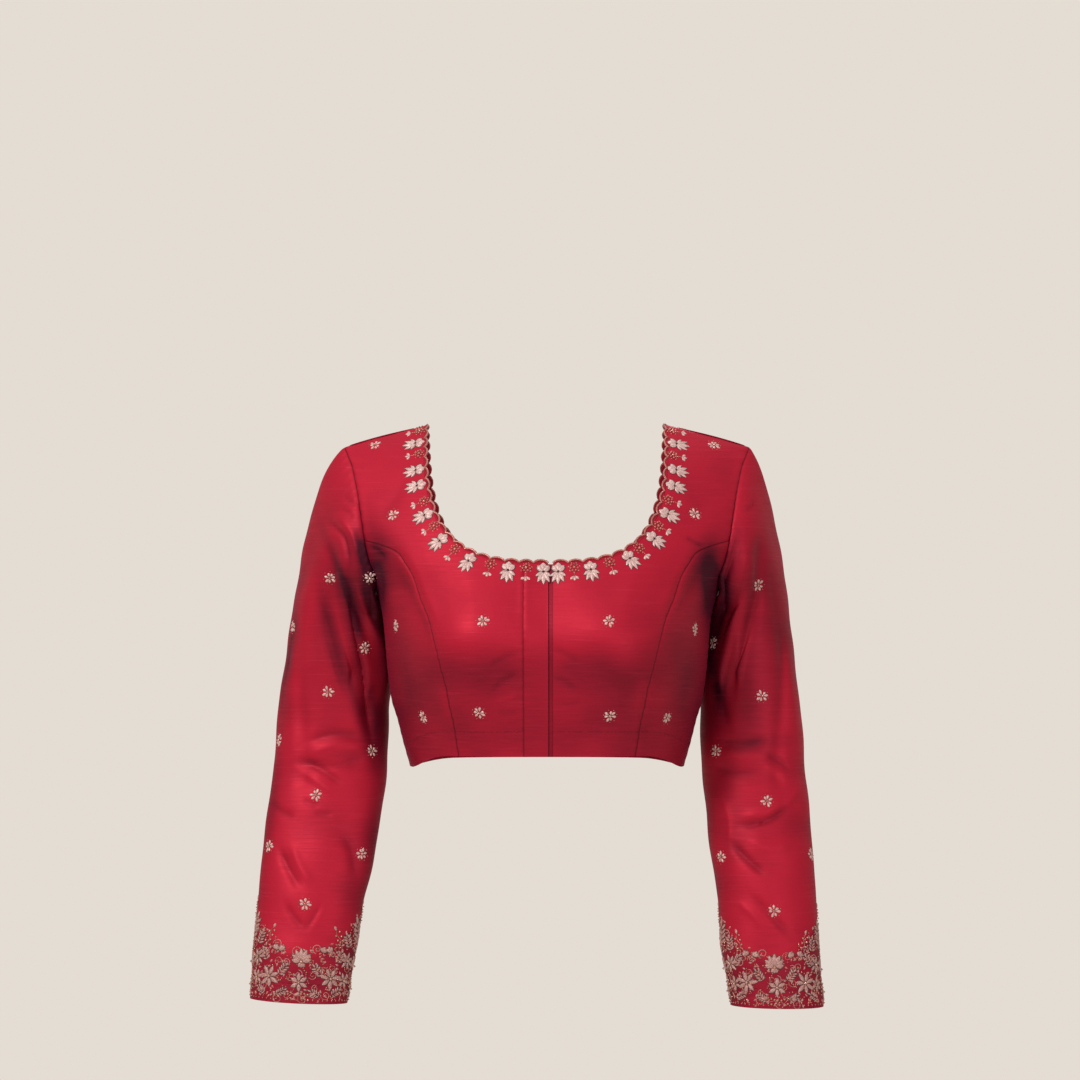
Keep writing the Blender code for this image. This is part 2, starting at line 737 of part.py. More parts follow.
def edging(name, outer, inner, cloth):
    """Scalloped strip along a neck edge, made from the points of the cloth that it finishes.

    cloth holds a point of the cloth beside each point of the edge, so the strip leads away from it.
    """
    length = np.linalg.norm(np.diff(outer, axis=0), axis=1).sum()
    lobes = round(length / SCALLOP_PITCH)
    share = np.linspace(0, 1, lobes * SCALLOP_STEPS + 1)
    away = outer - cloth
    all_three = evenly(np.concatenate([outer, inner - outer, away], axis=1), share)
    edge, thickness, away = all_three[:, :3], all_three[:, 3:6], all_three[:, 6:]
    normal = -unit(thickness)
    along = unit(np.gradient(edge, axis=0))
    away = away - normal * np.einsum("ij,ij->i", away, normal)[:, None]
    away = unit(away - along * np.einsum("ij,ij->i", away, along)[:, None])
    bow = np.abs(np.sin(math.pi * lobes * share)) ** 0.7
    near = edge + away * SEAM_GAP
    far = edge + away * (EDGING_WIDTH + SCALLOP_DEPTH * bow)[:, None]
    strip_points = np.stack([near, far])
    wall(name, [(strip_points + normal * EDGING_RISE, strip_points + thickness)], TRIM_COLOUR)


def neck_edge(panel, start):
    """The neck edge of a panel with the points beside it: outer, inner and cloth."""
    outer, inner = panel
    neck = slice(start, None)
    return outer[neck, 0], inner[neck, 0], outer[neck, 1]


def build_edging(fronts, back, overlap):
    """The three stretches of the neck edging: the two fronts and the back."""
    outer, inner = overlap
    strip_top = outer[-1, ::-1], inner[-1, ::-1], outer[-2, ::-1]
    right = neck_edge(fronts["right"], CENTRE_ROWS)
    edging("neck_edging_front_right", *[np.concatenate([a, b[1:]]) for a, b in zip(strip_top, right)])
    edging("neck_edging_front_left", *neck_edge(fronts["left"], CENTRE_ROWS))
    halves = [neck_edge(half, BACK_ROWS) for half in back]
    edging("neck_edging_back", *[np.concatenate([a[::-1], b[1:]]) for a, b in zip(*halves)])


def main():
    clear_scene()
    fronts = build_fronts()
    back = build_back()
    build_sleeves()
    overlap = build_placket()
    build_edging(fronts, back, overlap)


main()
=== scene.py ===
"""Choli blouse in shot raw silk: its cloth, sewing, embroidery and beads.

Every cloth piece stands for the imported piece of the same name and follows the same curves.
Metres, +Z up. The front faces -Y and the wearer's right is at -X.
"""
import math
from collections import namedtuple

import bpy
import numpy as np
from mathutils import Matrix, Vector
from mathutils.bvhtree import BVHTree

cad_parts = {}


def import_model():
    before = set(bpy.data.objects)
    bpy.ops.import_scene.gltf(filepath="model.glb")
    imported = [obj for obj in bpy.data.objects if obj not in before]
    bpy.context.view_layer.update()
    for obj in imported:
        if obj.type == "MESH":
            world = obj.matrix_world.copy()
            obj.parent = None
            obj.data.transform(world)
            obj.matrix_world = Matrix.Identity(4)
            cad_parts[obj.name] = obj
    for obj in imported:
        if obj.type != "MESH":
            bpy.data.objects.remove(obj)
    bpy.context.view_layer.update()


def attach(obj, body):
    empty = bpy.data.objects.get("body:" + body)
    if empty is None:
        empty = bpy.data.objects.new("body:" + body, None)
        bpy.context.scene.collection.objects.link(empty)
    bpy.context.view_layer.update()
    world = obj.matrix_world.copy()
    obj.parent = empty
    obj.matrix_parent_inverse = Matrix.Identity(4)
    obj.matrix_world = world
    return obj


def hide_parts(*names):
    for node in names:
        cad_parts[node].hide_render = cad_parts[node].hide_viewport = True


# Camera. One pixel of the picture is 0.95 mm in the plane through the shoulders.
PIXEL = 0.00095
PICTURE_SIZE = 1080
CENTRE_PIXEL_ACROSS = 547.0
EYE_PIXEL_DOWN = 634.5
EYE_DISTANCE = 3.2
EYE_HEIGHT = -0.200
SENSOR = 36.0

# Floor, lights and the place they point at. ROOM_LIGHT is the strength of the room's light on the
# cloth, and ROOM_PALENESS is how pale the room is behind it.
FLOOR_RADIUS = 1.5
FLOOR_HEIGHT = -0.9
LIT_PLACE = (0.0, 0.0, -0.22)
ROOM_LIGHT = 0.50
ROOM_PALENESS = 0.86
Light = namedtuple("Light", "name place size power tint")
LIGHTS = (
    Light("key", (-1.3, -1.9, 1.3), 0.7, 44.0, (1.0, 0.97, 0.94)),
    Light("fill", (1.3, -2.4, 0.0), 1.2, 14.0, (0.97, 0.97, 1.0)),
    Light("top", (0.1, 0.3, 2.1), 1.2, 10.0, (1.0, 1.0, 1.0)),
    Light("behind", (0.4, 2.6, 0.9), 1.4, 12.0, (1.0, 1.0, 1.0)),
)

# Threads and beads, with their lighter and deeper colours from 0 to 255
Look = namedtuple("Look", "name light deep metallic roughness")
CREAM_LOOK = Look("cream_stitches", (236, 212, 206), (172, 122, 118), 0.15, 0.40)
GOLD_LOOK = Look("gold_thread", (222, 150, 136), (146, 70, 66), 0.50, 0.38)
DARK_LOOK = Look("dark_thread", (84, 12, 26), (46, 5, 14), 0.0, 0.6)
SHINE_LOOK = Look("glass_beads", (226, 186, 164), (176, 124, 106), 0.65, 0.22)
DUSTY_LOOK = Look("dusty_stitches", (212, 168, 160), (142, 92, 88), 0.15, 0.45)

# Cloth
WALL = 0.0012
SEAM_GAP = 0.0001
SEAM_DIP = 0.0008
SEAM_DIP_WIDTH = 0.0012
SEAM_HOLD = 0.010
HEM_STITCH = 0.0240
CUFF_STITCH = 0.0180
NO_SEAM = 0.2

# Cut of each piece before it was sewn: width, length and flat area
Cutting = namedtuple("Cutting", "width length area")

# Figure that the cut is shaped for
SECTION_POWER = 2.5
SIDE_PLANE = 0.012
SHOULDER_SLOPE = 0.268
SLOPE_HOLD = 0.030
SLOPE_FADE = 0.155
BUST_OUT = 0.082
BUST_DROP = 0.208
BUST_FULLNESS = 0.020
BUST_SPREAD = 0.042
BUST_TALL = 0.045

# Neck, front opening and hem
RIDGE_START = 0.1140
NECK_DEPTH = 0.1348
BACK_NECK_DEPTH = 0.1350
NECK_POWER_ACROSS = 3.1
NECK_POWER_DOWN = 3.1
OVERLAP_SEAM = -0.0215
OVERLAP_EDGE = 0.0010
LEFT_FRONT_EDGE = 0.0055
UNDERLAP_LEFT = 0.0085
UNDERLAP_RIGHT = -0.0165
UNDERLAP_DEPTH = 0.0016
# Painted shade of the underlap, which lies in the overlap's shadow, as a share of purple
UNDERLAP_PAINTED_SHADE = 0.45
HEM_FRONT = 0.3125
HEM_SIDE = 0.3250
HEM_BACK = 0.3200
HEM_LEVEL_SHARE = 0.50
HEM_LOW_SHARE = 0.88
SHOULDER_TIP = 0.193
PRINCESS_TOP_DROP = 0.112
PRINCESS_SPLIT = 0.45
NECK_SPLIT = 0.42
BACK_ARMHOLE_SPLIT = 0.55
RIDGE_EASE = 1.5

# Scalloped neck edging
SCALLOP_PITCH = 0.0138
SCALLOP_DEPTH = 0.0030
EDGING_WIDTH = 0.0012
EDGING_FLAT = 0.0006
EDGING_LIFT = 0.0002
CORD_RADIUS = 0.00095
CORD_LIFT = 0.0004
CORD_SIDES = 7
CORD_TWIST = 0.10
EDGING_PURPLE = 0.25

Width = namedtuple("Width", "drop half_width")
WIDTHS = (
    Width(0.000, 0.2150),
    Width(0.050, 0.2120),
    Width(0.090, 0.2040),
    Width(0.110, 0.1960),
    Width(0.130, 0.1835),
    Width(0.148, 0.1695),
    Width(0.158, 0.1635),
    Width(0.167, 0.1606),
    Width(0.183, 0.1565),
    Width(0.203, 0.1545),
    Width(0.233, 0.1520),
    Width(0.262, 0.1480),
    Width(0.280, 0.1425),
    Width(0.300, 0.1375),
    Width(0.330, 0.1290),
)

Depth = namedtuple("Depth", "drop front back")
DEPTHS = (
    Depth(0.000, 0.000, 0.000),
    Depth(0.005, 0.014, 0.014),
    Depth(0.020, 0.034, 0.034),
    Depth(0.050, 0.063, 0.060),
    Depth(0.100, 0.099, 0.083),
    Depth(0.155, 0.126, 0.095),
    Depth(0.205, 0.141, 0.097),
    Depth(0.260, 0.132, 0.091),
    Depth(0.312, 0.119, 0.086),
    Depth(0.340, 0.114, 0.084),
)

Seam = namedtuple("Seam", "drop reach")
PRINCESS = (
    Seam(0.1165, 0.1550),
    Seam(0.1255, 0.1375),
    Seam(0.1425, 0.1265),
    Seam(0.1575, 0.1205),
    Seam(0.1900, 0.1080),
    Seam(0.2320, 0.0975),
    Seam(0.2540, 0.0920),
    Seam(0.2850, 0.0860),
    Seam(0.3125, 0.0820),
)

Scye = namedtuple("Scye", "drop across")
ARMHOLE = (
    Scye(0.0450, 0.690),
    Scye(0.0700, 0.676),
    Scye(0.0900, 0.680),
    Scye(0.1100, 0.702),
    Scye(0.1300, 0.749),
    Scye(0.1480, 0.815),
    Scye(0.1555, 0.900),
    Scye(0.1580, 1.000),
)

# Places in the middle of the armhole and inside the sleeve, on the wearer's left
SCYE_MIDDLE = (0.170, 0.020, -0.090)
SLEEVE_SIDE = (0.240, 0.020, -0.090)

SleeveRing = namedtuple("SleeveRing", "drop girth right_centre right_half left_centre left_half back")
SLEEVE_RINGS = (
    SleeveRing(0.205, 0.302, 0.2015, 0.0480, 0.1955, 0.0410, 0.048),
    SleeveRing(0.250, 0.300, 0.2045, 0.0520, 0.1957, 0.0462, 0.047),
    SleeveRing(0.287, 0.296, 0.2060, 0.0535, 0.1965, 0.0488, 0.044),
    SleeveRing(0.331, 0.290, 0.2085, 0.0550, 0.1985, 0.0498, 0.036),
    SleeveRing(0.379, 0.280, 0.2142, 0.0542, 0.2026, 0.0494, 0.022),
    SleeveRing(0.407, 0.275, 0.2175, 0.0535, 0.2049, 0.0487, 0.014),
    SleeveRing(0.450, 0.263, 0.2242, 0.0505, 0.2088, 0.0473, 0.003),
    SleeveRing(0.490, 0.254, 0.2285, 0.0487, 0.2111, 0.0461, -0.006),
    SleeveRing(0.548, 0.240, 0.2355, 0.0452, 0.2174, 0.0437, -0.016),
)

# The wearer's two sides, which hang a little differently
Cut = namedtuple("Cut", "side neck_half cuff_drop cuff_tilt head_out head_down")
CUTS = {
    "right": Cut(-1, 0.1165, 0.5457, 0.050, 0.75, 0.66),
    "left": Cut(1, 0.1145, 0.5505, -0.015, 0.55, 0.835),
}

# How the sleeve's cloth leaves the armhole, by share of the way from the shoulder to the underarm.
# A cut's own head_out and head_down take the place of the first row's.
Leaving = namedtuple("Leaving", "share out down")
LEAVING = (
    Leaving(0.00, 0.65, 0.75),
    Leaving(0.35, 0.72, 0.62),
    Leaving(0.70, 0.60, 0.80),
    Leaving(1.00, 0.35, 0.94),
)
LEAVING_FORWARD = 0.22

# Lengths over which the sleeve head turns from that direction into the sleeve's own
Handle = namedtuple("Handle", "share early late")
HANDLES = (
    Handle(0.0, 0.045, 0.070),
    Handle(0.5, 0.036, 0.055),
    Handle(0.8, 0.020, 0.030),
    Handle(1.0, 0.010, 0.018),
)

Fold = namedtuple("Fold", "turn_top turn_low drop_top drop_low half_width lift")
SLEEVE_FOLDS = (
    Fold(60.0, 112.0, 0.100, 0.235, 9.0, -0.0035),
    Fold(84.0, 128.0, 0.110, 0.250, 8.0, 0.0025),
    Fold(40.0, 66.0, 0.190, 0.330, 9.0, -0.0020),
    Fold(232.0, 250.0, 0.110, 0.260, 10.0, -0.0025),
    Fold(285.0, 300.0, 0.180, 0.340, 10.0, -0.0020),
)
FOLD_EASE = 0.030
CUFF_TILT_TOP = 0.30
CUFF_TILT_EASE = 0.20

# Mesh counts
CENTRE_ROWS = 72
CENTRE_COLUMNS = 44
BACK_ROWS = 54
BACK_SIDE_ROWS = 42
BACK_COLUMNS = 60
ARMHOLE_UPPER = 48
ARMHOLE_LOWER = 42
HEAD_RINGS = 44
ARM_RINGS = 146
SCALLOP_STEPS = 10
CURVE_POINTS = 900
LIP = 0.3


def smooth_curve(places, values, at):
    """Monotone cubic curve through a table's rows."""
    places = np.asarray(places, float)
    values = np.asarray(values, float)
    steps = np.diff(places)
    slopes = np.diff(values) / steps
    tangents = np.empty(len(places))
    tangents[0] = slopes[0]
    tangents[-1] = slopes[-1]
    product = slopes[:-1] * slopes[1:]
    total = slopes[:-1] + slopes[1:]
    safe = np.where(product > 0, total, 1.0)
    tangents[1:-1] = np.where(product > 0, 2 * product / safe, 0.0)
    at = np.clip(np.asarray(at, float), places[0], places[-1])
    cell = np.clip(np.searchsorted(places, at, side="right") - 1, 0, len(steps) - 1)
    t = (at - places[cell]) / steps[cell]
    start, end = values[cell], values[cell + 1]
    lead, trail = tangents[cell] * steps[cell], tangents[cell + 1] * steps[cell]
    return (
        start * (1 + 2 * t) * (1 - t) ** 2
        + lead * t * (1 - t) ** 2
        + end * t * t * (3 - 2 * t)
        + trail * t * t * (t - 1)
    )


def column(rows, name):
    return [getattr(row, name) for row in rows]


def smoothstep(value):
    value = np.clip(value, 0.0, 1.0)
    return value * value * (3 - 2 * value)


def half_width(height):
    return smooth_curve(column(WIDTHS, "drop"), column(WIDTHS, "half_width"), -height)


def ridge_drop(reach):
    """How far the shoulder line has fallen at this distance from the centre."""
    return SHOULDER_SLOPE * np.maximum(np.abs(reach) - RIDGE_START, 0.0)


def depth_from_side(reach, height, face):
    """Depth of the section's middle, measured from the plane of the side seams."""
    fade = 1 - smoothstep((-height - SLOPE_HOLD) / (SLOPE_FADE - SLOPE_HOLD))
    below = np.maximum(-height - ridge_drop(reach) * fade, 0.0)
    places = np.sqrt(column(DEPTHS, "drop"))
    return smooth_curve(places, column(DEPTHS, face), np.sqrt(below))


def bust_fullness(reach, height):
    across = np.exp(-(((np.abs(reach) - BUST_OUT) / BUST_SPREAD) ** 2) / 2)
    down = np.exp(-(((-height - BUST_DROP) / BUST_TALL) ** 2) / 2)
    return BUST_FULLNESS * across * down


def body_point(across, height, face):
    """Point of the figure's surface. across runs from 0 at the centre line to 1 at the side seam."""
    across, height = np.broadcast_arrays(np.asarray(across, float), np.asarray(height, float))
    turn = math.pi / 2 * np.abs(across) ** (SECTION_POWER / 2)
    reach = half_width(height) * np.sin(turn) ** (2 / SECTION_POWER)
    rise = np.cos(turn)
    depth = depth_from_side(reach, height, face) * rise
    if face == "front":
        depth = depth + bust_fullness(reach, height) * (1 - (1 - rise) ** 3)
        depth = -depth
    return np.stack([np.sign(across) * reach, SIDE_PLANE + depth, height], axis=-1)


def across_at(reach, height):
    """The across value whose point lies at this distance from the centre plane."""
    share = np.clip(np.abs(reach) / half_width(height), 0.0, 1.0)
    turn = np.arcsin(share ** (SECTION_POWER / 2))
    return np.sign(reach) * (turn / (math.pi / 2)) ** (2 / SECTION_POWER)


def unit(vectors):
    length = np.linalg.norm(vectors, axis=-1, keepdims=True)
    return vectors / np.maximum(length, 1e-12)


def body_normal(across, height, face):
    step = 2e-4
    sideways = body_point(across + step, height, face) - body_point(across - step, height, face)
    low = np.minimum(height, -step)
    downward = body_point(across, low - step, face) - body_point(across, low + step, face)
    normal = np.cross(sideways, downward)
    return unit(-normal if face == "front" else normal)


def travelled(line):
    """Share of a line's length at each of its points. A flat line holds across and height."""
    sizes = np.diff(line[:, :3], axis=0)
    if line.shape[1] == 2:
        sizes = sizes * (SHOULDER_TIP, 1.0)
    steps = np.linalg.norm(sizes, axis=1)
    return np.concatenate([[0], np.cumsum(steps)]) / steps.sum()


def evenly(line, shares):
    """Points at the given shares of a dense line's length, or that many at even distances."""
    if np.isscalar(shares):
        shares = np.linspace(0, 1, int(shares))
    at = travelled(line)
    return np.stack([np.interp(shares, at, values) for values in line.T], axis=1)


def smooth_line(across, heights):
    """Dense smooth line through a table's points."""
    line = np.stack([across, heights], axis=1)
    at = travelled(line)
    dense = np.linspace(0, 1, CURVE_POINTS)
    return np.stack([smooth_curve(at, line[:, 0], dense), smooth_curve(at, line[:, 1], dense)], axis=1)


def neck_line(face, cut, start=0.0):
    """Neck edge on one side from the centre, or from the reach start, up to the shoulder seam."""
    depth = NECK_DEPTH if face == "front" else BACK_NECK_DEPTH
    top = -ridge_drop(cut.neck_half)
    turn = np.linspace(0, math.pi / 2, CURVE_POINTS)
    reach = cut.neck_half * np.sin(turn) ** (2 / NECK_POWER_ACROSS)
    height = top - (depth + top) * np.cos(turn) ** (2 / NECK_POWER_DOWN)
    if start > 0:
        first = np.interp(start, reach, height)
        keep = reach > start
        reach = np.concatenate([[start], reach[keep]])
        height = np.concatenate([[first], height[keep]])
    return np.stack([across_at(reach, height), height], axis=1)


def armhole_line():
    """Armhole from the shoulder tip down to the side seam, as across and height."""
    tip_height = -float(ridge_drop(SHOULDER_TIP))
    tip_across = float(across_at(SHOULDER_TIP, tip_height))
    heights = np.array([tip_height] + [-row.drop for row in ARMHOLE])
    across = np.array([tip_across] + column(ARMHOLE, "across"))
    return smooth_line(across, heights)


def princess_share():
    """Share of the armhole, from the shoulder tip, at which the princess seam meets it."""
    line = armhole_line()
    return float(np.interp(PRINCESS_TOP_DROP, -line[:, 1], travelled(line)))


def armhole_stations(face):
    """Shares of the armhole, from tip to side seam, at which all its pieces have their points."""
    middle = princess_share() if face == "front" else BACK_ARMHOLE_SPLIT
    upper = middle * np.linspace(0, 1, ARMHOLE_UPPER + 1) ** RIDGE_EASE
    return join(upper, np.linspace(middle, 1, ARMHOLE_LOWER + 1))


def princess_stations():
    """Shares of the princess seam, from the hem up, at which its two panels have their points."""
    lower = np.linspace(0, PRINCESS_SPLIT, CENTRE_ROWS + 1)
    return join(lower, np.linspace(PRINCESS_SPLIT, 1, ARMHOLE_LOWER + 1))


def princess_line():
    """Princess seam from the hem up to the armhole."""
    top = evenly(armhole_line(), [princess_share()])[0]
    drops = np.array(column(PRINCESS, "drop"))[::-1]
    reaches = np.array(column(PRINCESS, "reach"))[::-1]
    across = across_at(reaches, -drops)
    heights = np.concatenate([-drops, [top[1]]])
    across = np.concatenate([across, [top[0]]])
    return smooth_line(across, heights)


def hem_height(across, face):
    """The hem runs level across the middle and dips towards the side seams."""
    middle = HEM_FRONT if face == "front" else HEM_BACK
    share = (np.abs(across) - HEM_LEVEL_SHARE) / (HEM_LOW_SHARE - HEM_LEVEL_SHARE)
    return -(middle + (HEM_SIDE - middle) * smoothstep(share))


def hem_line(start, end, face):
    across = np.linspace(start, end, CURVE_POINTS)
    return np.stack([across, hem_height(across, face)], axis=1)


def straight(start, end):
    share = np.linspace(0, 1, CURVE_POINTS)[:, None]
    return np.asarray(start) * (1 - share) + np.asarray(end) * share


def join(*lines):
    return np.concatenate([lines[0]] + [line[1:] for line in lines[1:]])


def lips(line):
    """The line with one more point close to each end, where the cloth turns into the seam."""
    first = line[0] + (line[1] - line[0]) * LIP
    last = line[-1] + (line[-2] - line[-1]) * LIP
    return np.concatenate([line[:1], [first], line[1:-1], [last], line[-1:]])


def coons(left, right, bottom, top):
    """Grid of across and height values between four edges."""
    rows, columns = len(left), len(bottom)
    v = lips(np.linspace(0, 1, rows))[:, None, None]
    u = lips(np.linspace(0, 1, columns))[None, :, None]
    left, right, bottom, top = [lips(line) for line in (left, right, bottom, top)]
    ruled = (1 - u) * left[:, None] + u * right[:, None]
    raised = (1 - v) * bottom[None] + v * top[None]
    corners = (
        (1 - u) * (1 - v) * bottom[0]
        + u * (1 - v) * bottom[-1]
        + (1 - u) * v * top[0]
        + u * v * top[-1]
    )
    return ruled + raised - corners


def neck_side(edge, bottom, neck, upright_rows, neck_rows):
    """Points up an upright edge at a fixed distance from the centre, then round the neck."""
    height = np.linspace(bottom, neck[0, 1], upright_rows + 1)
    lower = np.stack([across_at(edge, height), height], axis=1)
    shares = np.linspace(0, NECK_SPLIT, neck_rows + 1)
    rest = NECK_SPLIT + (1 - NECK_SPLIT) * (1 - np.linspace(1, 0, ARMHOLE_UPPER + 1) ** RIDGE_EASE)
    return join(lower, evenly(neck, shares), evenly(neck, rest))


def centre_front_grid(cut, edge):
    """Centre front from the opening's edge to the princess seam and the armhole."""
    neck = neck_line("front", cut, edge)
    left = neck_side(edge, -HEM_FRONT, neck, CENTRE_ROWS, ARMHOLE_LOWER)
    princess = evenly(princess_line(), princess_stations())
    upper = evenly(armhole_line(), armhole_stations("front")[: ARMHOLE_UPPER + 1])
    right = join(princess, upper[::-1])
    bottom = evenly(hem_line(left[0, 0], right[0, 0], "front"), CENTRE_COLUMNS + 1)
    top = evenly(straight(left[-1], right[-1]), CENTRE_COLUMNS + 1)
    return meet_corners(left, right, bottom, top)


def side_front_grid():
    """Side front from the princess seam to the side seam."""
    left = evenly(princess_line(), princess_stations())
    top = evenly(armhole_line(), armhole_stations("front")[ARMHOLE_UPPER:])
    right = evenly(straight((1.0, -HEM_SIDE), top[-1]), len(left))
    bottom = evenly(hem_line(left[0, 0], 1.0, "front"), ARMHOLE_LOWER + 1)
    return meet_corners(left, right, bottom, top)


def half_back_grid(cut):
    """Half of the back, from the centre to the side seam."""
    neck_rows = ARMHOLE_LOWER + BACK_SIDE_ROWS - BACK_ROWS
    left = neck_side(0.0, -HEM_BACK, neck_line("back", cut), BACK_ROWS, neck_rows)
    armhole = evenly(armhole_line(), armhole_stations("back"))[::-1]
    side = evenly(straight((1.0, -HEM_SIDE), armhole[0]), BACK_SIDE_ROWS + 1)
    right = join(side, armhole)
    bottom = evenly(hem_line(0, 1, "back"), BACK_COLUMNS + 1)
    top = evenly(straight(left[-1], right[-1]), BACK_COLUMNS + 1)
    return meet_corners(left, right, bottom, top)


def meet_corners(left, right, bottom, top):
    bottom[0], bottom[-1] = left[0], right[0]
    top[0], top[-1] = left[-1], right[-1]
    return coons(left, right, bottom, top)


def both_faces(front, back):
    """Values round a whole armhole: down its front from the shoulder tip and up its back."""
    return np.concatenate([front, back[-2:0:-1]])


def one_face(values, face):
    """The front's or the back's share of values that run round a whole armhole."""
    turned = values if face == "front" else np.roll(values[::-1], 1, axis=0)
    return turned[: len(values) // 2 + 1]


def armhole_seam(cut):
    """Points round an armhole with the directions across the seam, outward and down the sleeve."""
    points, normals, leave = [], [], []
    for face in ("front", "back"):
        shares = armhole_stations(face)
        line = evenly(armhole_line(), shares)
        points.append(body_point(line[:, 0] * cut.side, line[:, 1], face))
        normals.append(body_normal(line[:, 0] * cut.side, line[:, 1], face))
        leave.append(leaving(cut, face, shares))
    for end in (0, -1):
        shared = unit(normals[0][end] + normals[1][end])
        normals[0][end] = normals[1][end] = shared
    points, normals, leave = both_faces(*points), both_faces(*normals), both_faces(*leave)
    along = unit(np.roll(points, -1, axis=0) - np.roll(points, 1, axis=0))
    onward = facing(np.cross(normals, along), side_place(cut, SLEEVE_SIDE) - points)
    crossing = unit(onward + leave)
    crossing = unit(crossing - along * dots(crossing, along))
    outward = facing(np.cross(along, crossing), points - side_place(cut, SCYE_MIDDLE))
    return points, crossing, outward, leave


def dots(first, second):
    return np.einsum("ij,ij->i", first, second)[:, None]


def facing(vectors, towards):
    """The vectors, each turned round if need be to point along its partner."""
    return vectors * np.sign(dots(vectors, towards))


def side_place(cut, place):
    return np.array([cut.side * place[0], *place[1:]])


def leaving(cut, face, shares):
    """Direction in which the sleeve's cloth leaves the armhole seam."""
    places = column(LEAVING, "share")
    out = smooth_curve(places, [cut.head_out, *column(LEAVING, "out")[1:]], shares)
    down = smooth_curve(places, [cut.head_down, *column(LEAVING, "down")[1:]], shares)
    forward = LEAVING_FORWARD * np.sin(shares * math.pi) * (-1 if face == "front" else 1)
    return unit(np.stack([cut.side * out, forward, -down], axis=1))


def sleeve_section(cut, turns, drop):
    """Ring of the sleeve below the armhole. Turn 0 is its outer side and 90 degrees its front."""
    name = "right" if cut.side < 0 else "left"
    drops = column(SLEEVE_RINGS, "drop")
    wanted = (name + "_centre", name + "_half", "girth", "back")
    centre, wide, girth, back = [smooth_curve(drops, column(SLEEVE_RINGS, label), drop) for label in wanted]
    deep = np.sqrt(2 * (girth / math.tau) ** 2 - wide**2)
    reach = centre + wide * np.cos(turns)
    depth = back - deep * np.sin(turns)
    lean = cut.cuff_tilt * smoothstep((drop - CUFF_TILT_TOP) / CUFF_TILT_EASE) * wide * np.cos(turns)
    return np.stack([cut.side * reach, depth, lean - drop + np.zeros_like(reach)], axis=-1)


def sleeve_turns():
    """Angle of each lengthwise line of a sleeve, eased to match the armhole's points."""
    shares = [armhole_stations(face) for face in ("front", "back")]
    even = np.linspace(0, 1, len(shares[0]))
    front, back = [math.pi * (even + share) / 2 for share in shares]
    return both_faces(front, math.tau - back)


def sleeve_rings(cut):
    """Rings from the armhole to the cuff, and the outward directions of the first ring."""
    points, crossing, outward, leave = armhole_seam(cut)
    around = both_faces(armhole_stations("front"), armhole_stations("back"))
    turns = sleeve_turns()
    first_drop = SLEEVE_RINGS[0].drop
    start = points + crossing * SEAM_GAP / 2
    end = sleeve_section(cut, turns, first_drop)
    onward = unit(sleeve_section(cut, turns, first_drop + 0.01) - end)
    share = column(HANDLES, "share")
    early = smooth_curve(share, column(HANDLES, "early"), around)[:, None]
    late = smooth_curve(share, column(HANDLES, "late"), around)[:, None]
    near, far = start + leave * early, end - onward * late
    rings = []
    for t in np.linspace(0, 1, HEAD_RINGS + 1):
        rest = 1 - t
        rings.append(start * rest**3 + 3 * near * t * rest**2 + 3 * far * t * t * rest + end * t**3)
    for drop in np.linspace(first_drop, cut.cuff_drop, ARM_RINGS + 1)[1:]:
        rings.append(sleeve_section(cut, turns, drop))
    return np.array(rings), outward


def ring_normals(rings):
    around = np.roll(rings, -1, axis=1) - np.roll(rings, 1, axis=1)
    normal = unit(np.cross(around, np.gradient(rings, axis=0)))
    outwards = np.einsum("ijk,ijk->ij", normal, rings - rings.mean(axis=1, keepdims=True))
    return normal if outwards.sum() > 0 else -normal


def fold_lift(turns, drops, start):
    """Height of the soft folds at each turn in degrees and each drop."""
    lift = np.zeros(np.broadcast(turns, drops).shape)
    for fold in SLEEVE_FOLDS:
        share = np.clip((drops - fold.drop_top) / (fold.drop_low - fold.drop_top), 0, 1)
        centre = fold.turn_top + (fold.turn_low - fold.turn_top) * share
        away = (turns - centre + 180) % 360 - 180
        across = np.exp(-((away / fold.half_width) ** 2))
        ends = smoothstep((drops - fold.drop_top) / FOLD_EASE) * smoothstep(
            (fold.drop_low + FOLD_EASE - drops) / FOLD_EASE
        )
        lift += fold.lift * across * ends
    return lift * start


def folded_sleeve(cut):
    """Rings of a sleeve with its soft folds, and their outward directions."""
    rings, seam_outward = sleeve_rings(cut)
    seam_hold = smoothstep(np.arange(len(rings)) / (HEAD_RINGS / 2))[:, None]
    lift = fold_lift(np.degrees(sleeve_turns())[None, :], -rings[..., 2], seam_hold)
    rings = rings + ring_normals(rings) * lift[..., None]
    normals = ring_normals(rings)
    normals[0] = seam_outward
    return rings, normals


def inset(points, side, amount):
    """Move one edge of a grid inwards, square to the seam."""
    turned = {"first_row": points, "last_row": points[::-1]}.get(side)
    if turned is None:
        flipped = np.swapaxes(points, 0, 1)
        turned = flipped if side == "first_column" else flipped[::-1]
    along = unit(np.gradient(turned[0], axis=0))
    inward = turned[1] - turned[0]
    inward = unit(inward - along * dots(inward, along))
    turned[0] += inward * amount


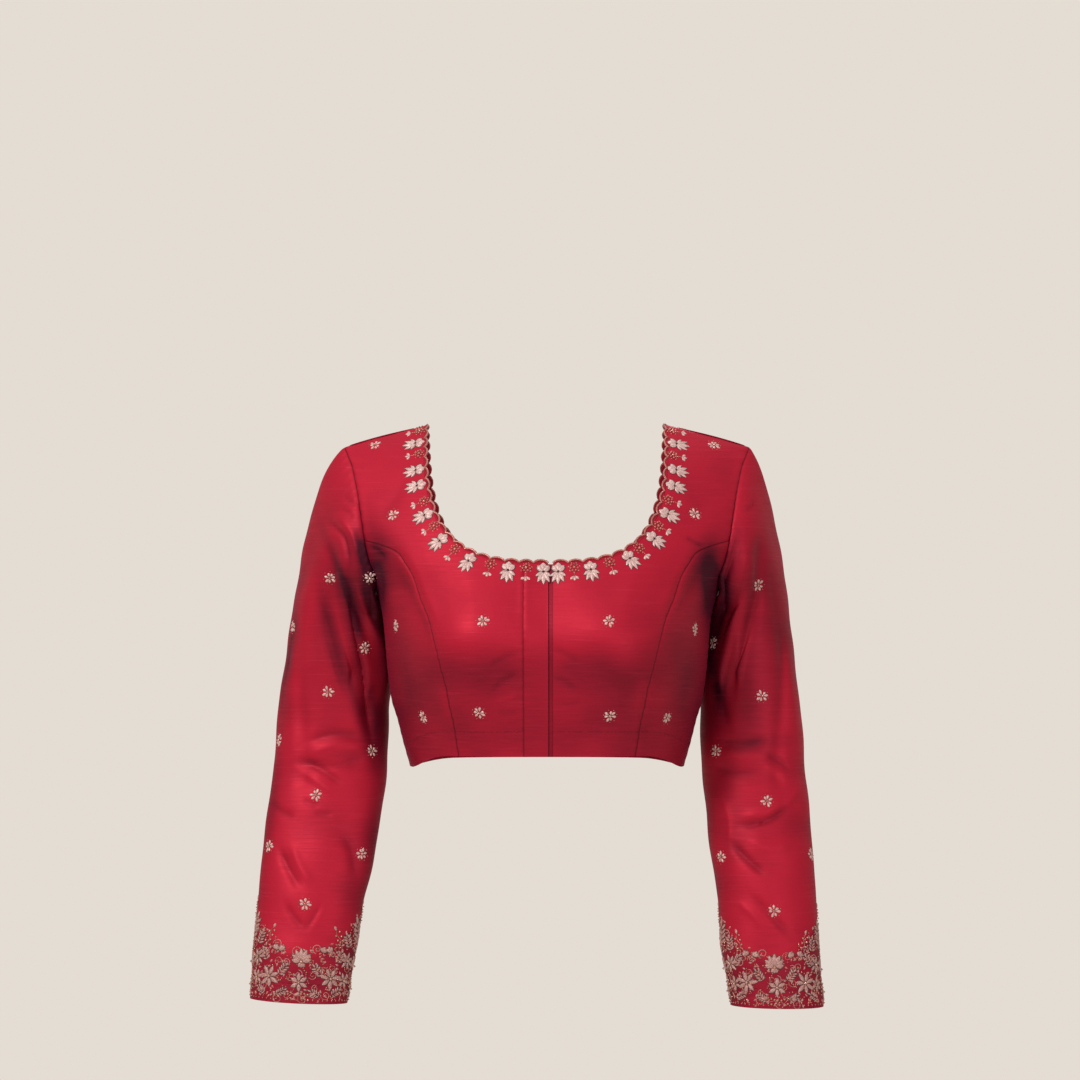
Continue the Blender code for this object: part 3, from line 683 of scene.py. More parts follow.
# Creases of the worn cloth, as paths in the picture's pixels with half width and depth in metres.
# A crease below zero is a trough and one above it a ridge.
Crease = namedtuple("Crease", "pixel_path half_width lift")
FRONT_CREASES = (
    Crease(((392, 556), (408, 590), (424, 622), (436, 650)), 0.0060, -0.0016),
    Crease(((404, 552), (424, 592), (440, 628)), 0.0070, 0.0014),
    Crease(((366, 545), (376, 548), (388, 562)), 0.0030, -0.0018),
    Crease(((684, 536), (694, 541), (706, 548)), 0.0028, -0.0018),
    Crease(((704, 560), (690, 588), (674, 618)), 0.0060, -0.0015),
    Crease(((690, 556), (672, 592), (660, 622)), 0.0070, 0.0012),
    Crease(((521, 652), (505, 658), (488, 668)), 0.0032, -0.0010),
    Crease(((521, 672), (503, 682), (489, 694)), 0.0036, -0.0012),
    Crease(((521, 694), (506, 699), (490, 703)), 0.0030, 0.0009),
    Crease(((521, 712), (508, 714), (496, 713)), 0.0026, -0.0009),
    Crease(((550, 648), (566, 655), (582, 664)), 0.0034, -0.0010),
    Crease(((550, 676), (566, 683), (578, 692)), 0.0036, -0.0012),
    Crease(((550, 704), (568, 704), (584, 700)), 0.0030, -0.0009),
    Crease(((458, 560), (470, 590), (474, 628)), 0.0110, 0.0008),
    Crease(((640, 560), (628, 596), (622, 630)), 0.0110, 0.0008),
    Crease(((470, 660), (500, 668), (520, 664)), 0.0120, -0.0009),
    Crease(((552, 664), (590, 668), (622, 660)), 0.0120, -0.0009),
    Crease(((436, 676), (446, 704), (450, 728)), 0.0065, 0.0010),
    Crease(((648, 672), (640, 700), (636, 728)), 0.0065, 0.0010),
    Crease(((392, 640), (404, 676), (408, 716)), 0.0075, -0.0014),
    Crease(((700, 640), (690, 676), (684, 716)), 0.0075, -0.0014),
    Crease(((408, 470), (396, 496), (376, 520)), 0.0090, -0.0010),
    Crease(((680, 470), (694, 496), (708, 520)), 0.0090, -0.0010),
)
BACK_CREASES = (
    Crease(((392, 552), (420, 586), (452, 606)), 0.0070, -0.0020),
    Crease(((404, 546), (436, 578), (466, 592)), 0.0070, 0.0015),
    Crease(((704, 556), (676, 590), (646, 612)), 0.0070, -0.0019),
    Crease(((692, 548), (664, 578), (634, 594)), 0.0070, 0.0014),
    Crease(((430, 660), (500, 672), (560, 664)), 0.0100, -0.0018),
    Crease(((540, 690), (610, 700), (664, 686)), 0.0090, -0.0016),
    Crease(((440, 690), (500, 704), (540, 702)), 0.0080, 0.0012),
    Crease(((410, 480), (398, 510), (388, 540)), 0.0080, -0.0010),
    Crease(((686, 480), (698, 510), (706, 540)), 0.0080, -0.0010),
)
RIGHT_SLEEVE_CREASES = (
    Crease(((326, 518), (344, 538), (350, 568)), 0.0028, -0.0030),
    Crease(((334, 512), (352, 534), (360, 566)), 0.0034, 0.0020),
    Crease(((343, 495), (349, 500), (356, 503)), 0.0018, -0.0012),
    Crease(((340, 507), (348, 512), (354, 519)), 0.0018, -0.0012),
    Crease(((354, 578), (366, 612), (378, 652)), 0.0036, 0.0026),
    Crease(((318, 590), (330, 640), (346, 696)), 0.0050, -0.0034),
    Crease(((331, 590), (343, 636), (357, 690)), 0.0050, 0.0024),
    Crease(((350, 584), (358, 640), (368, 700), (376, 764)), 0.0075, -0.0060),
    Crease(((371, 600), (379, 650), (383, 700)), 0.0040, 0.0024),
    Crease(((300, 745), (336, 734), (374, 740)), 0.0050, -0.0022),
    Crease(((304, 755), (338, 746), (368, 750)), 0.0045, 0.0014),
    Crease(((294, 762), (332, 766), (370, 756)), 0.0050, -0.0020),
    Crease(((300, 758), (322, 770), (346, 786)), 0.0036, -0.0026),
    Crease(((296, 768), (318, 782), (338, 797)), 0.0036, 0.0016),
    Crease(((300, 799), (310, 803), (322, 806)), 0.0024, -0.0014),
    Crease(((314, 811), (324, 814), (334, 814)), 0.0024, -0.0014),
    Crease(((278, 846), (288, 868), (302, 892)), 0.0040, -0.0026),
    Crease(((290, 842), (300, 866), (314, 888)), 0.0046, 0.0018),
    Crease(((284, 902), (296, 920), (306, 930)), 0.0030, -0.0018),
    Crease(((322, 902), (313, 918), (305, 930)), 0.0030, -0.0018),
    Crease(((318, 548), (304, 620), (298, 700)), 0.0090, 0.0016),
    Crease(((298, 600), (286, 670), (278, 740)), 0.0080, -0.0016),
    Crease(((270, 800), (282, 812), (296, 818)), 0.0040, -0.0016),
    Crease(((340, 830), (352, 850), (356, 880)), 0.0060, -0.0018),
)
LEFT_SLEEVE_CREASES = (
    Crease(((740, 534), (728, 566), (722, 602), (719, 650)), 0.0050, -0.0052),
    Crease(((750, 540), (741, 580), (737, 640), (738, 700)), 0.0070, 0.0030),
    Crease(((757, 500), (750, 508), (744, 512)), 0.0020, -0.0012),
    Crease(((764, 754), (778, 760), (792, 771)), 0.0032, -0.0022),
    Crease(((760, 764), (776, 771), (788, 781)), 0.0032, 0.0014),
    Crease(((738, 826), (764, 822), (792, 806)), 0.0030, -0.0032),
    Crease(((740, 817), (764, 812), (788, 798)), 0.0040, 0.0020),
    Crease(((730, 842), (748, 860), (768, 877)), 0.0040, -0.0028),
    Crease(((744, 838), (770, 848), (796, 842)), 0.0070, 0.0022),
    Crease(((748, 892), (770, 914), (792, 937)), 0.0040, -0.0022),
    Crease(((736, 902), (752, 914), (762, 928)), 0.0034, 0.0014),
    Crease(((768, 556), (778, 620), (786, 690)), 0.0090, -0.0018),
    Crease(((782, 640), (792, 700), (798, 756)), 0.0070, 0.0016),
    Crease(((712, 738), (742, 744), (772, 736)), 0.0050, -0.0022),
    Crease(((712, 764), (738, 774), (764, 772)), 0.0050, -0.0018),
    Crease(((716, 750), (742, 758), (766, 752)), 0.0050, 0.0013),
    Crease(((714, 672), (722, 706), (728, 730)), 0.0060, -0.0022),
    Crease(((800, 786), (790, 800), (782, 806)), 0.0040, 0.0014),
    Crease(((722, 800), (730, 824), (730, 850)), 0.0050, 0.0016),
)

# A crease's ends fade over this share of its length to a share of its height, and its section is
# partly rounded and partly keen.
SOFT_END = 0.30
END_SHARE = 0.15
SOFT_SHARE = 0.6
CREASE_KEENNESS = 1.6
CREASE_POINTS = 15

# Areas of painted shade, laid in the dark purple of the shot silk over the armpits, the sides, the sleeves'
# inner sides and the folds, each a soft ellipse in the picture's pixels that leans by some degrees
PaintedShade = namedtuple("PaintedShade", "pixel_middle pixel_long pixel_wide lean share")
FRONT_PAINTED_SHADES = (
    PaintedShade((381, 545), 24, 13, -30, 0.50),
    PaintedShade((377, 586), 26, 9, 0, 1.10),
    PaintedShade((400, 690), 60, 24, 0, 0.22),
    PaintedShade((466, 674), 44, 17, 90, 0.16),
    PaintedShade((706, 552), 24, 13, 30, 0.55),
    PaintedShade((711, 588), 30, 9, 0, 1.15),
    PaintedShade((690, 684), 62, 24, 0, 0.26),
    PaintedShade((622, 676), 50, 18, 90, 0.22),
    PaintedShade((412, 566), 30, 8, -35, 0.15),
)
RIGHT_SLEEVE_PAINTED_SHADES = (
    PaintedShade((362, 552), 22, 7, -24, 0.80),
    PaintedShade((377, 610), 66, 9, -12, 1.10),
    PaintedShade((351, 606), 40, 4, -20, 0.60),
    PaintedShade((346, 668), 66, 6, -16, 0.55),
    PaintedShade((380, 716), 60, 8, 0, 0.50),
    PaintedShade((334, 556), 40, 4, -24, 0.25),
    PaintedShade((284, 660), 80, 6, 12, 0.45),
    PaintedShade((270, 810), 70, 7, 7, 0.42),
    PaintedShade((330, 756), 36, 5, 80, 0.25),
    PaintedShade((372, 836), 50, 9, 4, 0.45),
    PaintedShade((350, 896), 30, 14, 0, 0.35),
    PaintedShade((318, 640), 90, 30, 0, 0.06),
)
LEFT_SLEEVE_PAINTED_SHADES = (
    PaintedShade((713, 598), 46, 8, 0, 1.10),
    PaintedShade((716, 676), 56, 10, 0, 0.60),
    PaintedShade((744, 676), 60, 14, -6, 0.34),
    PaintedShade((757, 700), 190, 42, -6, 0.14),
    PaintedShade((730, 820), 60, 12, 0, 0.24),
    PaintedShade((803, 660), 110, 7, -8, 0.35),
    PaintedShade((770, 742), 40, 7, 80, 0.22),
)

Rumple = namedtuple("Rumple", "seed size height")
BODY_RUMPLE = Rumple(7, 0.055, 0.00035)
SLEEVE_RUMPLE = Rumple(12, 0.050, 0.00045)
RUMPLE_WAVES = 12

# Creases fade out where the cloth faces sideways, on a body panel and on a sleeve.
SIDE_FACING = 0.30
FRONT_FACING = 0.45

# Share of the body's rumple and of the front's creases that the strips of the opening have
STRIP_RUMPLE = 0.6
STRIP_CREASE = 0.3

# How far the weave's noise runs in metres over half the body and over a radian of the sleeve
BODY_REPEAT = 0.24
SLEEVE_REPEAT = 0.046

# Uneven puckers beside the seams
PUCKER_LENGTH = 0.0095
PUCKER_REACH = 0.0070
PUCKER_HEIGHT = 0.00030

# Share of purple: the shot silk's yarn everywhere; where the cloth faces sideways, its purple at a slant with
# painted shade;
# where it faces down, painted shade; painted shade in a trough and painted light on a ridge, for each metre
# of its depth, within limits; and painted shade under the arm
PURPLE_BASE = 0.05
SIDEWAYS_PURPLE_AND_SHADE = 0.42
DOWNWARD_PAINTED_SHADE = 0.70
CREASE_PAINTED_SHADE_AND_LIGHT = 140.0
TROUGH_LEAST = -0.3
TROUGH_MOST = 0.25
UNDERARM_PAINTED_SHADE = 0.35

# The sleeve's cloth is pushed up where the arm meets the chest, by this much between these heights.
UNDERARM_LIFT = 0.0048
UNDERARM_TOP = -0.150
UNDERARM_LOW = -0.275
UNDERARM_TOP_EASE = 0.020
UNDERARM_LOW_EASE = 0.050
CHEST_FACING = 0.35
CHEST_EASE = 0.5

# Waist darts of the back
DART_REACH = 0.078
DART_LOW = -0.321
DART_TOP = -0.205

# Small flowers on the front, as the picture's pixels across and down. The hidden side has the same ones.
BODY_PIXELS = (
    (375, 445), (714, 445), (393, 515), (695, 514), (483, 621), (609, 621), (396, 626), (695, 629),
    (479, 713), (610, 716), (423, 717), (667, 718),
)
RIGHT_SLEEVE_PIXELS = (
    (314, 504), (330, 578), (370, 578), (293, 627), (365, 648), (328, 692), (279, 740), (372, 751),
    (316, 795), (269, 846), (362, 854), (305, 904),
)
LEFT_SLEEVE_PIXELS = (
    (758, 585), (793, 634), (713, 643), (762, 696), (804, 746), (716, 751), (767, 801), (721, 857),
    (811, 854), (774, 911),
)

# Border of the front neck, in the same pixels: large flowers, and gold rosettes between them
NECK_FLOWER_PIXELS = {
    "front_right": (
        (414, 441), (416, 468), (419, 484), (427, 514), (441, 540), (472, 557), (508, 567),
        (542, 571),
    ),
    "front_left": (
        (677, 442), (674, 469), (671, 485), (666, 515), (655, 541), (628, 556), (591, 567),
        (558, 571),
    ),
}
NECK_ROSETTE_PIXELS = {
    "front_right": (
        (421, 430), (421, 453), (427, 499), (435, 526), (457, 547), (491, 558), (526, 563),
    ),
    "front_left": (
        (672, 430), (671, 455), (662, 499), (656, 526), (638, 546), (608, 559), (573, 564),
    ),
}

# Finishes of the stitches, by their number in a piece's list
CREAM, GOLD, DARK, SHINE = range(4)

# Places across a petal from edge to edge, the height of its edges and the dark rim that shows round it
PETAL_TURNS = (-1.0, -0.62, 0.0, 0.62, 1.0)
EDGE_RISE = 0.00002
RIM = 0.0006

# Sides of a bead and of a thread, and how far above and below a stitch its cloth is looked for
BEAD_SIDES = 7
THREAD_SIDES = 5
REACH = 0.007

# Petals of the neck's flower and of the cuff's bud, as turn in degrees, length and width, and of
# its lotus, as turn to either side and length
FLOWER_HEAD = ((0, 0.0086, 0.0060), (-44, 0.0076, 0.0056), (44, 0.0076, 0.0056))
FLOWER_LEAVES = (
    (180, 0.0122, 0.0040),
    (153, 0.0112, 0.0038),
    (207, 0.0112, 0.0038),
    (124, 0.0078, 0.0032),
    (236, 0.0078, 0.0032),
)
BUD_HEAD = ((0, 0.0090, 0.0062), (-34, 0.0078, 0.0062), (34, 0.0078, 0.0062))
BUD_LEAVES = ((140, 0.0062, 0.0026), (220, 0.0062, 0.0026))
LOTUS_SIDES = ((78, 0.0085), (52, 0.0105), (26, 0.0118))

# Depth of the neck's motifs from its edge, and the scallop of the back at which they swap turns
ROSETTE_DEPTH = 0.0046
FLOWER_DEPTH = 0.0080
SWAP_SCALLOP = 10

# Cuff border: places round each face of the cuff, in degrees from its middle, and heights
CuffMotif = namedtuple("CuffMotif", "kind turn height lean size")
CUFF_MOTIFS = (
    CuffMotif("lotus", 0, 0.0385, 0, 0.95),
    CuffMotif("star", 0, 0.0195, 0, 0.95),
    CuffMotif("sprig", 9, 0.0068, 74, 0.60),
    CuffMotif("bud", 23, 0.0480, -24, 0.60),
    CuffMotif("bud", 33, 0.0485, 24, 0.60),
    CuffMotif("leaves", 20, 0.0310, 38, 0.50),
    CuffMotif("leaves", 20, 0.0100, 62, 0.42),
    CuffMotif("pointed", 38, 0.0235, 20, 0.92),
    CuffMotif("sprig", 42, 0.0610, 20, 0.90),
    CuffMotif("leaves", 47, 0.0440, -30, 0.50),
    CuffMotif("leaves", 50, 0.0110, -62, 0.45),
    CuffMotif("pointed", 61, 0.0400, -25, 0.72),
    CuffMotif("star", 60, 0.0215, 10, 0.78),
    CuffMotif("leaves", 57, 0.0590, 14, 0.55),
    CuffMotif("leaves", 76, 0.0680, 6, 0.85),
    CuffMotif("sprig", 78, 0.0180, 30, 0.80),
    CuffMotif("lotus", 90, 0.0340, 0, 0.85),
    CuffMotif("star", 90, 0.0130, 0, 0.80),
    CuffMotif("leaves", 90, 0.0560, 0, 0.90),
    CuffMotif("sprig", 90, 0.0830, 0, 1.0),
)
CUFF_BORDER_LOW = 0.0500
CUFF_BORDER_RISE = 0.0350
CUFF_BORDER_SWEEP = 2.4

# Share of purple behind the border, and the distance over which it fades in
CUFF_SHADE = 0.42
CUFF_SHADE_EDGE = 0.008

# What is scattered over the cuff
SEED_BEADS = 1050
CURLS = 84
CURL_TURNS = 1.35
CURL_SIZES = (0.0050, 0.0036, 0.0043)
CURL_HEIGHTS = (0.90, 0.34, 0.62, 0.16, 0.76, 0.48)
RIM_BEADS = 56


def border_height(turns):
    """Height of the cuff's border at each turn, in radians from the sleeve's outer side."""
    return CUFF_BORDER_LOW + CUFF_BORDER_RISE * np.abs(np.cos(turns)) ** CUFF_BORDER_SWEEP


def picture(points):
    """Where the camera sees each point, in metres across and up in the plane through the shoulders."""
    near = EYE_DISTANCE / (EYE_DISTANCE + points[..., 1])
    return np.stack([points[..., 0] * near, EYE_HEIGHT + (points[..., 2] - EYE_HEIGHT) * near], axis=-1)


def plane_place(pixel):
    """Place of a pixel, in metres across and up in the plane through the shoulders."""
    across, down = pixel
    return np.array([(across - CENTRE_PIXEL_ACROSS) * PIXEL, EYE_HEIGHT - (down - EYE_PIXEL_DOWN) * PIXEL])


def crease_lift(seen, creases):
    """Height that the creases give to each seen place."""
    lift = np.zeros(seen.shape[:-1])
    dense = np.linspace(0, 1, CREASE_POINTS)
    for crease in creases:
        path = np.array([plane_place(pixel) for pixel in crease.pixel_path])
        share = travelled(np.column_stack([path, np.zeros(len(path))]))
        path = np.stack([smooth_curve(share, values, dense) for values in path.T], axis=1)
        nearest = np.full(lift.shape, 1.0)
        along = np.zeros(lift.shape)
        for place, (start, end) in enumerate(zip(path[:-1], path[1:])):
            step = end - start
            part = np.clip(((seen - start) @ step) / (step @ step), 0, 1)
            away = np.linalg.norm(seen - start - part[..., None] * step, axis=-1)
            closer = away < nearest
            nearest = np.where(closer, away, nearest)
            along = np.where(closer, (place + part) / (len(path) - 1), along)
        ends = smoothstep(along / SOFT_END) * smoothstep((1 - along) / SOFT_END)
        soft = np.exp(-((nearest / crease.half_width) ** 2))
        sharp = np.exp(-CREASE_KEENNESS * nearest / crease.half_width)
        height = END_SHARE + (1 - END_SHARE) * ends
        lift += crease.lift * height * (SOFT_SHARE * soft + (1 - SOFT_SHARE) * sharp)
    return lift


def painted_shade_share(seen, shades):
    """Share of painted shade, as purple, that the areas give to each seen place."""
    total = np.zeros(seen.shape[:-1])
    for shade in shades:
        lean = math.radians(shade.lean)
        away = (seen - plane_place(shade.pixel_middle)) / PIXEL
        long = away[..., 1] * math.cos(lean) + away[..., 0] * math.sin(lean)
        wide = away[..., 0] * math.cos(lean) - away[..., 1] * math.sin(lean)
        total += shade.share * np.exp(-((long / shade.pixel_long) ** 2) - (wide / shade.pixel_wide) ** 2)
    return total


def rumple(points, kind):
    """Gentle unevenness of worn cloth."""
    chance = np.random.default_rng(kind.seed)
    total = np.zeros(points.shape[:-1])
    for _ in range(RUMPLE_WAVES):
        wave = unit(chance.normal(size=3)) * math.tau / (kind.size * chance.uniform(0.6, 1.7))
        total += np.sin(points @ wave + chance.uniform(0, math.tau))
    return kind.height * total / 3


def edge_distances(points):
    """Distances of a grid's points from its first and last column and its first and last row."""
    across = np.linalg.norm(np.diff(points, axis=1), axis=2)
    down = np.linalg.norm(np.diff(points, axis=0), axis=2)
    left = np.concatenate([np.zeros((len(points), 1)), np.cumsum(across, axis=1)], axis=1)
    low = np.concatenate([np.zeros((1, points.shape[1])), np.cumsum(down, axis=0)], axis=0)
    return left, left[:, -1:] - left, low, low[-1:] - low


def seam_form(seam, along):
    """Dip of the cloth at a seam, and the pucker beside it."""
    dip = SEAM_DIP * np.exp(-((seam / SEAM_DIP_WIDTH) ** 2))
    shift = 2.1 * np.sin(along * 37)
    uneven = np.sin(along * math.tau / PUCKER_LENGTH + shift + 1.3 * np.sin(along * 91))
    return PUCKER_HEIGHT * np.exp(-seam / PUCKER_REACH) * uneven - dip


Cloth = namedtuple("Cloth", "outer inner seam stitch purple place")


def purple_and_painted_shade(points, normals):
    """How much purple the cloth shows: more where it turns to the side, as the shot silk's yarn at a slant
    with painted shade, and where it turns down, as painted shade.
    """
    sideways = 1 - np.abs(normals[..., 1])
    return np.clip(PURPLE_BASE + SIDEWAYS_PURPLE_AND_SHADE * sideways**2 - DOWNWARD_PAINTED_SHADE * normals[..., 2], 0, 1)


def finish_cloth(points, normals, seam, stitch, place, lift, along, shade=0.0):
    """Cloth with its creases, seams, purple yarn and painted shade and light, from a smooth form and what
    lies on it.
    """
    # Painted shade in the creases' troughs and painted light on their ridges, as more and less purple
    purple = purple_and_painted_shade(points, normals) + shade - np.clip(lift * CREASE_PAINTED_SHADE_AND_LIGHT, TROUGH_LEAST, TROUGH_MOST)
    lift = lift * smoothstep(seam / SEAM_HOLD) + seam_form(seam, along)
    outer = points + normals * lift[..., None]
    return Cloth(outer, outer - normals * WALL, seam, stitch, np.clip(purple, 0, 1), place)


def weave_place(across, height, layer):
    """Where the finish reads its noise, in a layer of its own for each kind of piece."""
    return np.stack(np.broadcast_arrays(across, height, float(layer)), axis=-1)


def dart_distance(points):
    """Distance from the nearer waist dart of the back."""
    drop = np.clip(points[..., 2], DART_LOW, DART_TOP)
    return np.hypot(np.abs(points[..., 0]) - DART_REACH, points[..., 2] - drop)


def body_cloth(grid, cut, face, seams, armhole):
    """Panel of the body, sewn along the named seams and, at some of its points, to the armhole."""
    grid = grid * np.array([cut.side, 1.0])
    points = body_point(grid[..., 0], grid[..., 1], face)
    normals = body_normal(grid[..., 0], grid[..., 1], face)
    if "last_row" in seams:
        normals[-1] = (0.0, 0.0, 1.0)
        normals[-2] = unit(normals[-2] + np.array([0.0, 0.0, 1.0]))
    for side in seams:
        inset(points, side, SEAM_GAP / 2)
    edge, stations = armhole
    crossing, outward = [one_face(values, face) for values in armhole_seam(cut)[1:3]]
    points[edge] -= crossing[stations] * SEAM_GAP / 2
    normals[edge] = outward[stations]
    left, right, low, top = edge_distances(points)
    below_neck = np.arange(len(left))[:, None] <= CENTRE_ROWS
    sewn = {
        "last_column": right,
        "first_column": left,
        "first_column_low": np.where(below_neck, left, NO_SEAM),
        "last_row": top,
    }
    near = [np.full(left.shape, NO_SEAM)] + [sewn[side] for side in seams]
    if face == "back":
        near.append(dart_distance(points))
    seen = picture(points)
    lift = crease_lift(seen, FRONT_CREASES if face == "front" else BACK_CREASES) + rumple(points, BODY_RUMPLE)
    lift = lift * smoothstep((np.abs(normals[..., 1]) - SIDE_FACING) / SIDE_FACING)
    place = weave_place(grid[..., 0] * BODY_REPEAT, grid[..., 1], 0.0)
    # Painted shade of the areas, as purple
    shade = painted_shade_share(seen, FRONT_PAINTED_SHADES)
    return finish_cloth(
        points, normals, np.min(near, axis=0), low - HEM_STITCH, place, lift, points[..., 2], shade
    )


def lip_index(index, last):
    """A line's point number after its lips have been added."""
    if index == 0:
        return 0
    return index + 2 if index == last else index + 1


def fronts():
    """Centre and side panels of both fronts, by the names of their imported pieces."""
    panels = {}
    centre_last = CENTRE_ROWS + ARMHOLE_LOWER + ARMHOLE_UPPER
    rows = np.arange(CENTRE_ROWS + ARMHOLE_LOWER, centre_last + 1)
    centre_armhole = (([lip_index(row, centre_last) for row in rows], -1), centre_last - rows)
    columns = [lip_index(column, ARMHOLE_LOWER) for column in range(ARMHOLE_LOWER + 1)]
    stations = np.arange(ARMHOLE_UPPER, ARMHOLE_UPPER + ARMHOLE_LOWER + 1)
    for name, edge in (("right", -OVERLAP_SEAM), ("left", LEFT_FRONT_EDGE)):
        cut = CUTS[name]
        seams = ("last_column", "last_row") + (("first_column_low",) if name == "right" else ())
        centre = body_cloth(centre_front_grid(cut, edge), cut, "front", seams, centre_armhole)
        panels["front_centre_" + name] = centre
        panels["front_side_" + name] = side_cloth(side_front_grid(), cut, columns, stations)
    return panels


def side_cloth(grid, cut, columns, stations):
    """Side front. Its top row lies on the armhole, with the lips' points between the stations."""
    fine = body_cloth(grid, cut, "front", ("first_column", "last_column"), ((-1, columns), stations))
    top = edge_distances(fine.outer)[3]
    seam = np.minimum(fine.seam, top)
    shift = (seam_form(seam, fine.outer[..., 0]) - seam_form(fine.seam, fine.outer[..., 2]))[..., None]
    normals = unit(fine.outer - fine.inner)
    shift = np.where((top < 0.03)[..., None], shift, 0.0)
    outer = fine.outer + normals * shift
    return fine._replace(outer=outer, inner=outer - normals * WALL, seam=seam)


def back_halves():
    """The back's two halves, which share their points at its middle."""
    last = BACK_SIDE_ROWS + ARMHOLE_LOWER + ARMHOLE_UPPER
    rows = np.arange(BACK_SIDE_ROWS, last + 1)
    armhole = (([lip_index(row, last) for row in rows], -1), last - rows)
    seams = ("last_column", "last_row")
    return [body_cloth(half_back_grid(cut), cut, "back", seams, armhole) for cut in CUTS.values()]


def sleeve_cloth(name, cut):
    """Sleeve with its own creases in front and the other sleeve's, mirrored, at the back."""
    rings, normals = folded_sleeve(cut)
    _, _, from_top, from_cuff = edge_distances(rings)
    seen = picture(rings)
    mirrored = seen * np.array([-1.0, 1.0])
    looks = [(RIGHT_SLEEVE_CREASES, RIGHT_SLEEVE_PAINTED_SHADES), (LEFT_SLEEVE_CREASES, LEFT_SLEEVE_PAINTED_SHADES)]
    own, other = looks if name == "right" else reversed(looks)
    front = smoothstep(-normals[..., 1] / FRONT_FACING)
    back = smoothstep(normals[..., 1] / FRONT_FACING)
    lift = crease_lift(seen, own[0]) * front + crease_lift(mirrored, other[0]) * back
    lift = lift + rumple(rings, SLEEVE_RUMPLE)
    # Painted shade of the areas as purple, the other sleeve's mirrored at the back
    shade = painted_shade_share(seen, own[1]) * front + painted_shade_share(mirrored, other[1]) * back
    height = rings[..., 2]
    towards_chest = smoothstep((-normals[..., 0] * cut.side - CHEST_FACING) / CHEST_EASE)
    rise = smoothstep((UNDERARM_TOP - height) / UNDERARM_TOP_EASE)
    rise = rise * smoothstep((height - UNDERARM_LOW) / UNDERARM_LOW_EASE)
    lift = lift + UNDERARM_LIFT * towards_chest * rise
    # Painted shade, as purple, where the arm meets the chest
    shade = shade + UNDERARM_PAINTED_SHADE * towards_chest * rise
    turns = sleeve_turns()
    shade = shade + CUFF_SHADE * smoothstep((border_height(turns) - from_cuff) / CUFF_SHADE_EDGE)
    along = np.cumsum(np.linalg.norm(np.diff(rings, axis=1, append=rings[:, :1]), axis=2), axis=1)
    place = weave_place(turns * SLEEVE_REPEAT, height, 0.5)
    return finish_cloth(rings, normals, from_top, from_cuff - CUFF_STITCH, place, lift, along, shade)


def strip_cloth(left, right, depth, columns):
    """Strip of the front opening between two distances from the centre plane."""
    reach = lips(np.linspace(left, right, columns + 1))
    neck = neck_line("front", CUTS["right"])
    neck_reach = body_point(neck[:, 0], neck[:, 1], "front")[:, 0]
    top = np.interp(np.abs(reach), neck_reach, neck[:, 1])
    share = np.linspace(0, 1, CENTRE_ROWS + 1)[:, None]
    height = -HEM_FRONT * (1 - share) + top * share
    reach = np.broadcast_to(reach, height.shape)
    across = across_at(reach, height)
    normals = body_normal(across, height, "front")
    points = body_point(across, height, "front") - normals * depth
    plain = np.full(height.shape, NO_SEAM)
    seam = edge_distances(points)[0] if depth == 0 else plain
    place = weave_place(across * BODY_REPEAT, height, 0.1)
    lift = rumple(points, BODY_RUMPLE) * STRIP_RUMPLE
    lift = lift + crease_lift(picture(points), FRONT_CREASES) * STRIP_CREASE
    made = finish_cloth(points, normals, seam, plain, place, lift, points[..., 2])
    # The underlap lies in the overlap's shadow: its purple is painted shade, and its seam value, the distance
    # from the overlap's edge, gives the dark seam groove as a painted shadow beside that edge.
    if depth > 0:
        under = np.maximum(reach - OVERLAP_EDGE, 0)
        made = made._replace(seam=under, purple=np.full(reach.shape, UNDERLAP_PAINTED_SHADE))
    return made


def numbered(rows, columns, closed=False):
    """Point numbers of a grid, row by row. A closed one ends with its first column again."""
    index = np.arange(rows * columns).reshape(rows, columns)
    return np.column_stack([index, index[:, 0]]) if closed else index


def quads(index):
    """Faces of a grid, from the number of the point at each of its places."""
    corners = (index[:-1, :-1], index[:-1, 1:], index[1:, 1:], index[1:, :-1])
    return np.stack(corners, axis=-1).reshape(-1, 4).tolist()


class Pile:
    """Points and faces gathered for one joined mesh."""

    def __init__(self):
        self.points = []
        self.faces = []
        self.finishes = []

    def add(self, points, faces, finish=0):
        first = len(self.points)
        self.points.extend(tuple(map(float, point)) for point in points)
        self.faces.extend(tuple(first + corner for corner in face) for face in faces)
        self.finishes.extend([finish] * len(faces))

    def build(self, name, finishes, smooth=True):
        mesh = bpy.data.meshes.new(name)
        mesh.from_pydata(self.points, [], self.faces)
        for finish in finishes:
            mesh.materials.append(finish)
        mesh.polygons.foreach_set("material_index", self.finishes)
        mesh.update()
        if smooth:
            mesh.shade_smooth()
        thing = bpy.data.objects.new(name, mesh)
        bpy.context.scene.collection.objects.link(thing)
        return thing


def tell_finish(thing, seam, stitch, purple, place):
    """Write on each point of a mesh what the silk's finish reads there."""
    count = len(thing.data.vertices)
    for label, values in (("seam", seam), ("stitch", stitch), ("purple", purple)):
        layer = thing.data.attributes.new(label, "FLOAT", "POINT")
        layer.data.foreach_set("value", np.broadcast_to(values, count).astype(np.float32))
    layer = thing.data.attributes.new("cloth", "FLOAT_VECTOR", "POINT")
    layer.data.foreach_set("vector", np.array(place, dtype=np.float32).ravel())


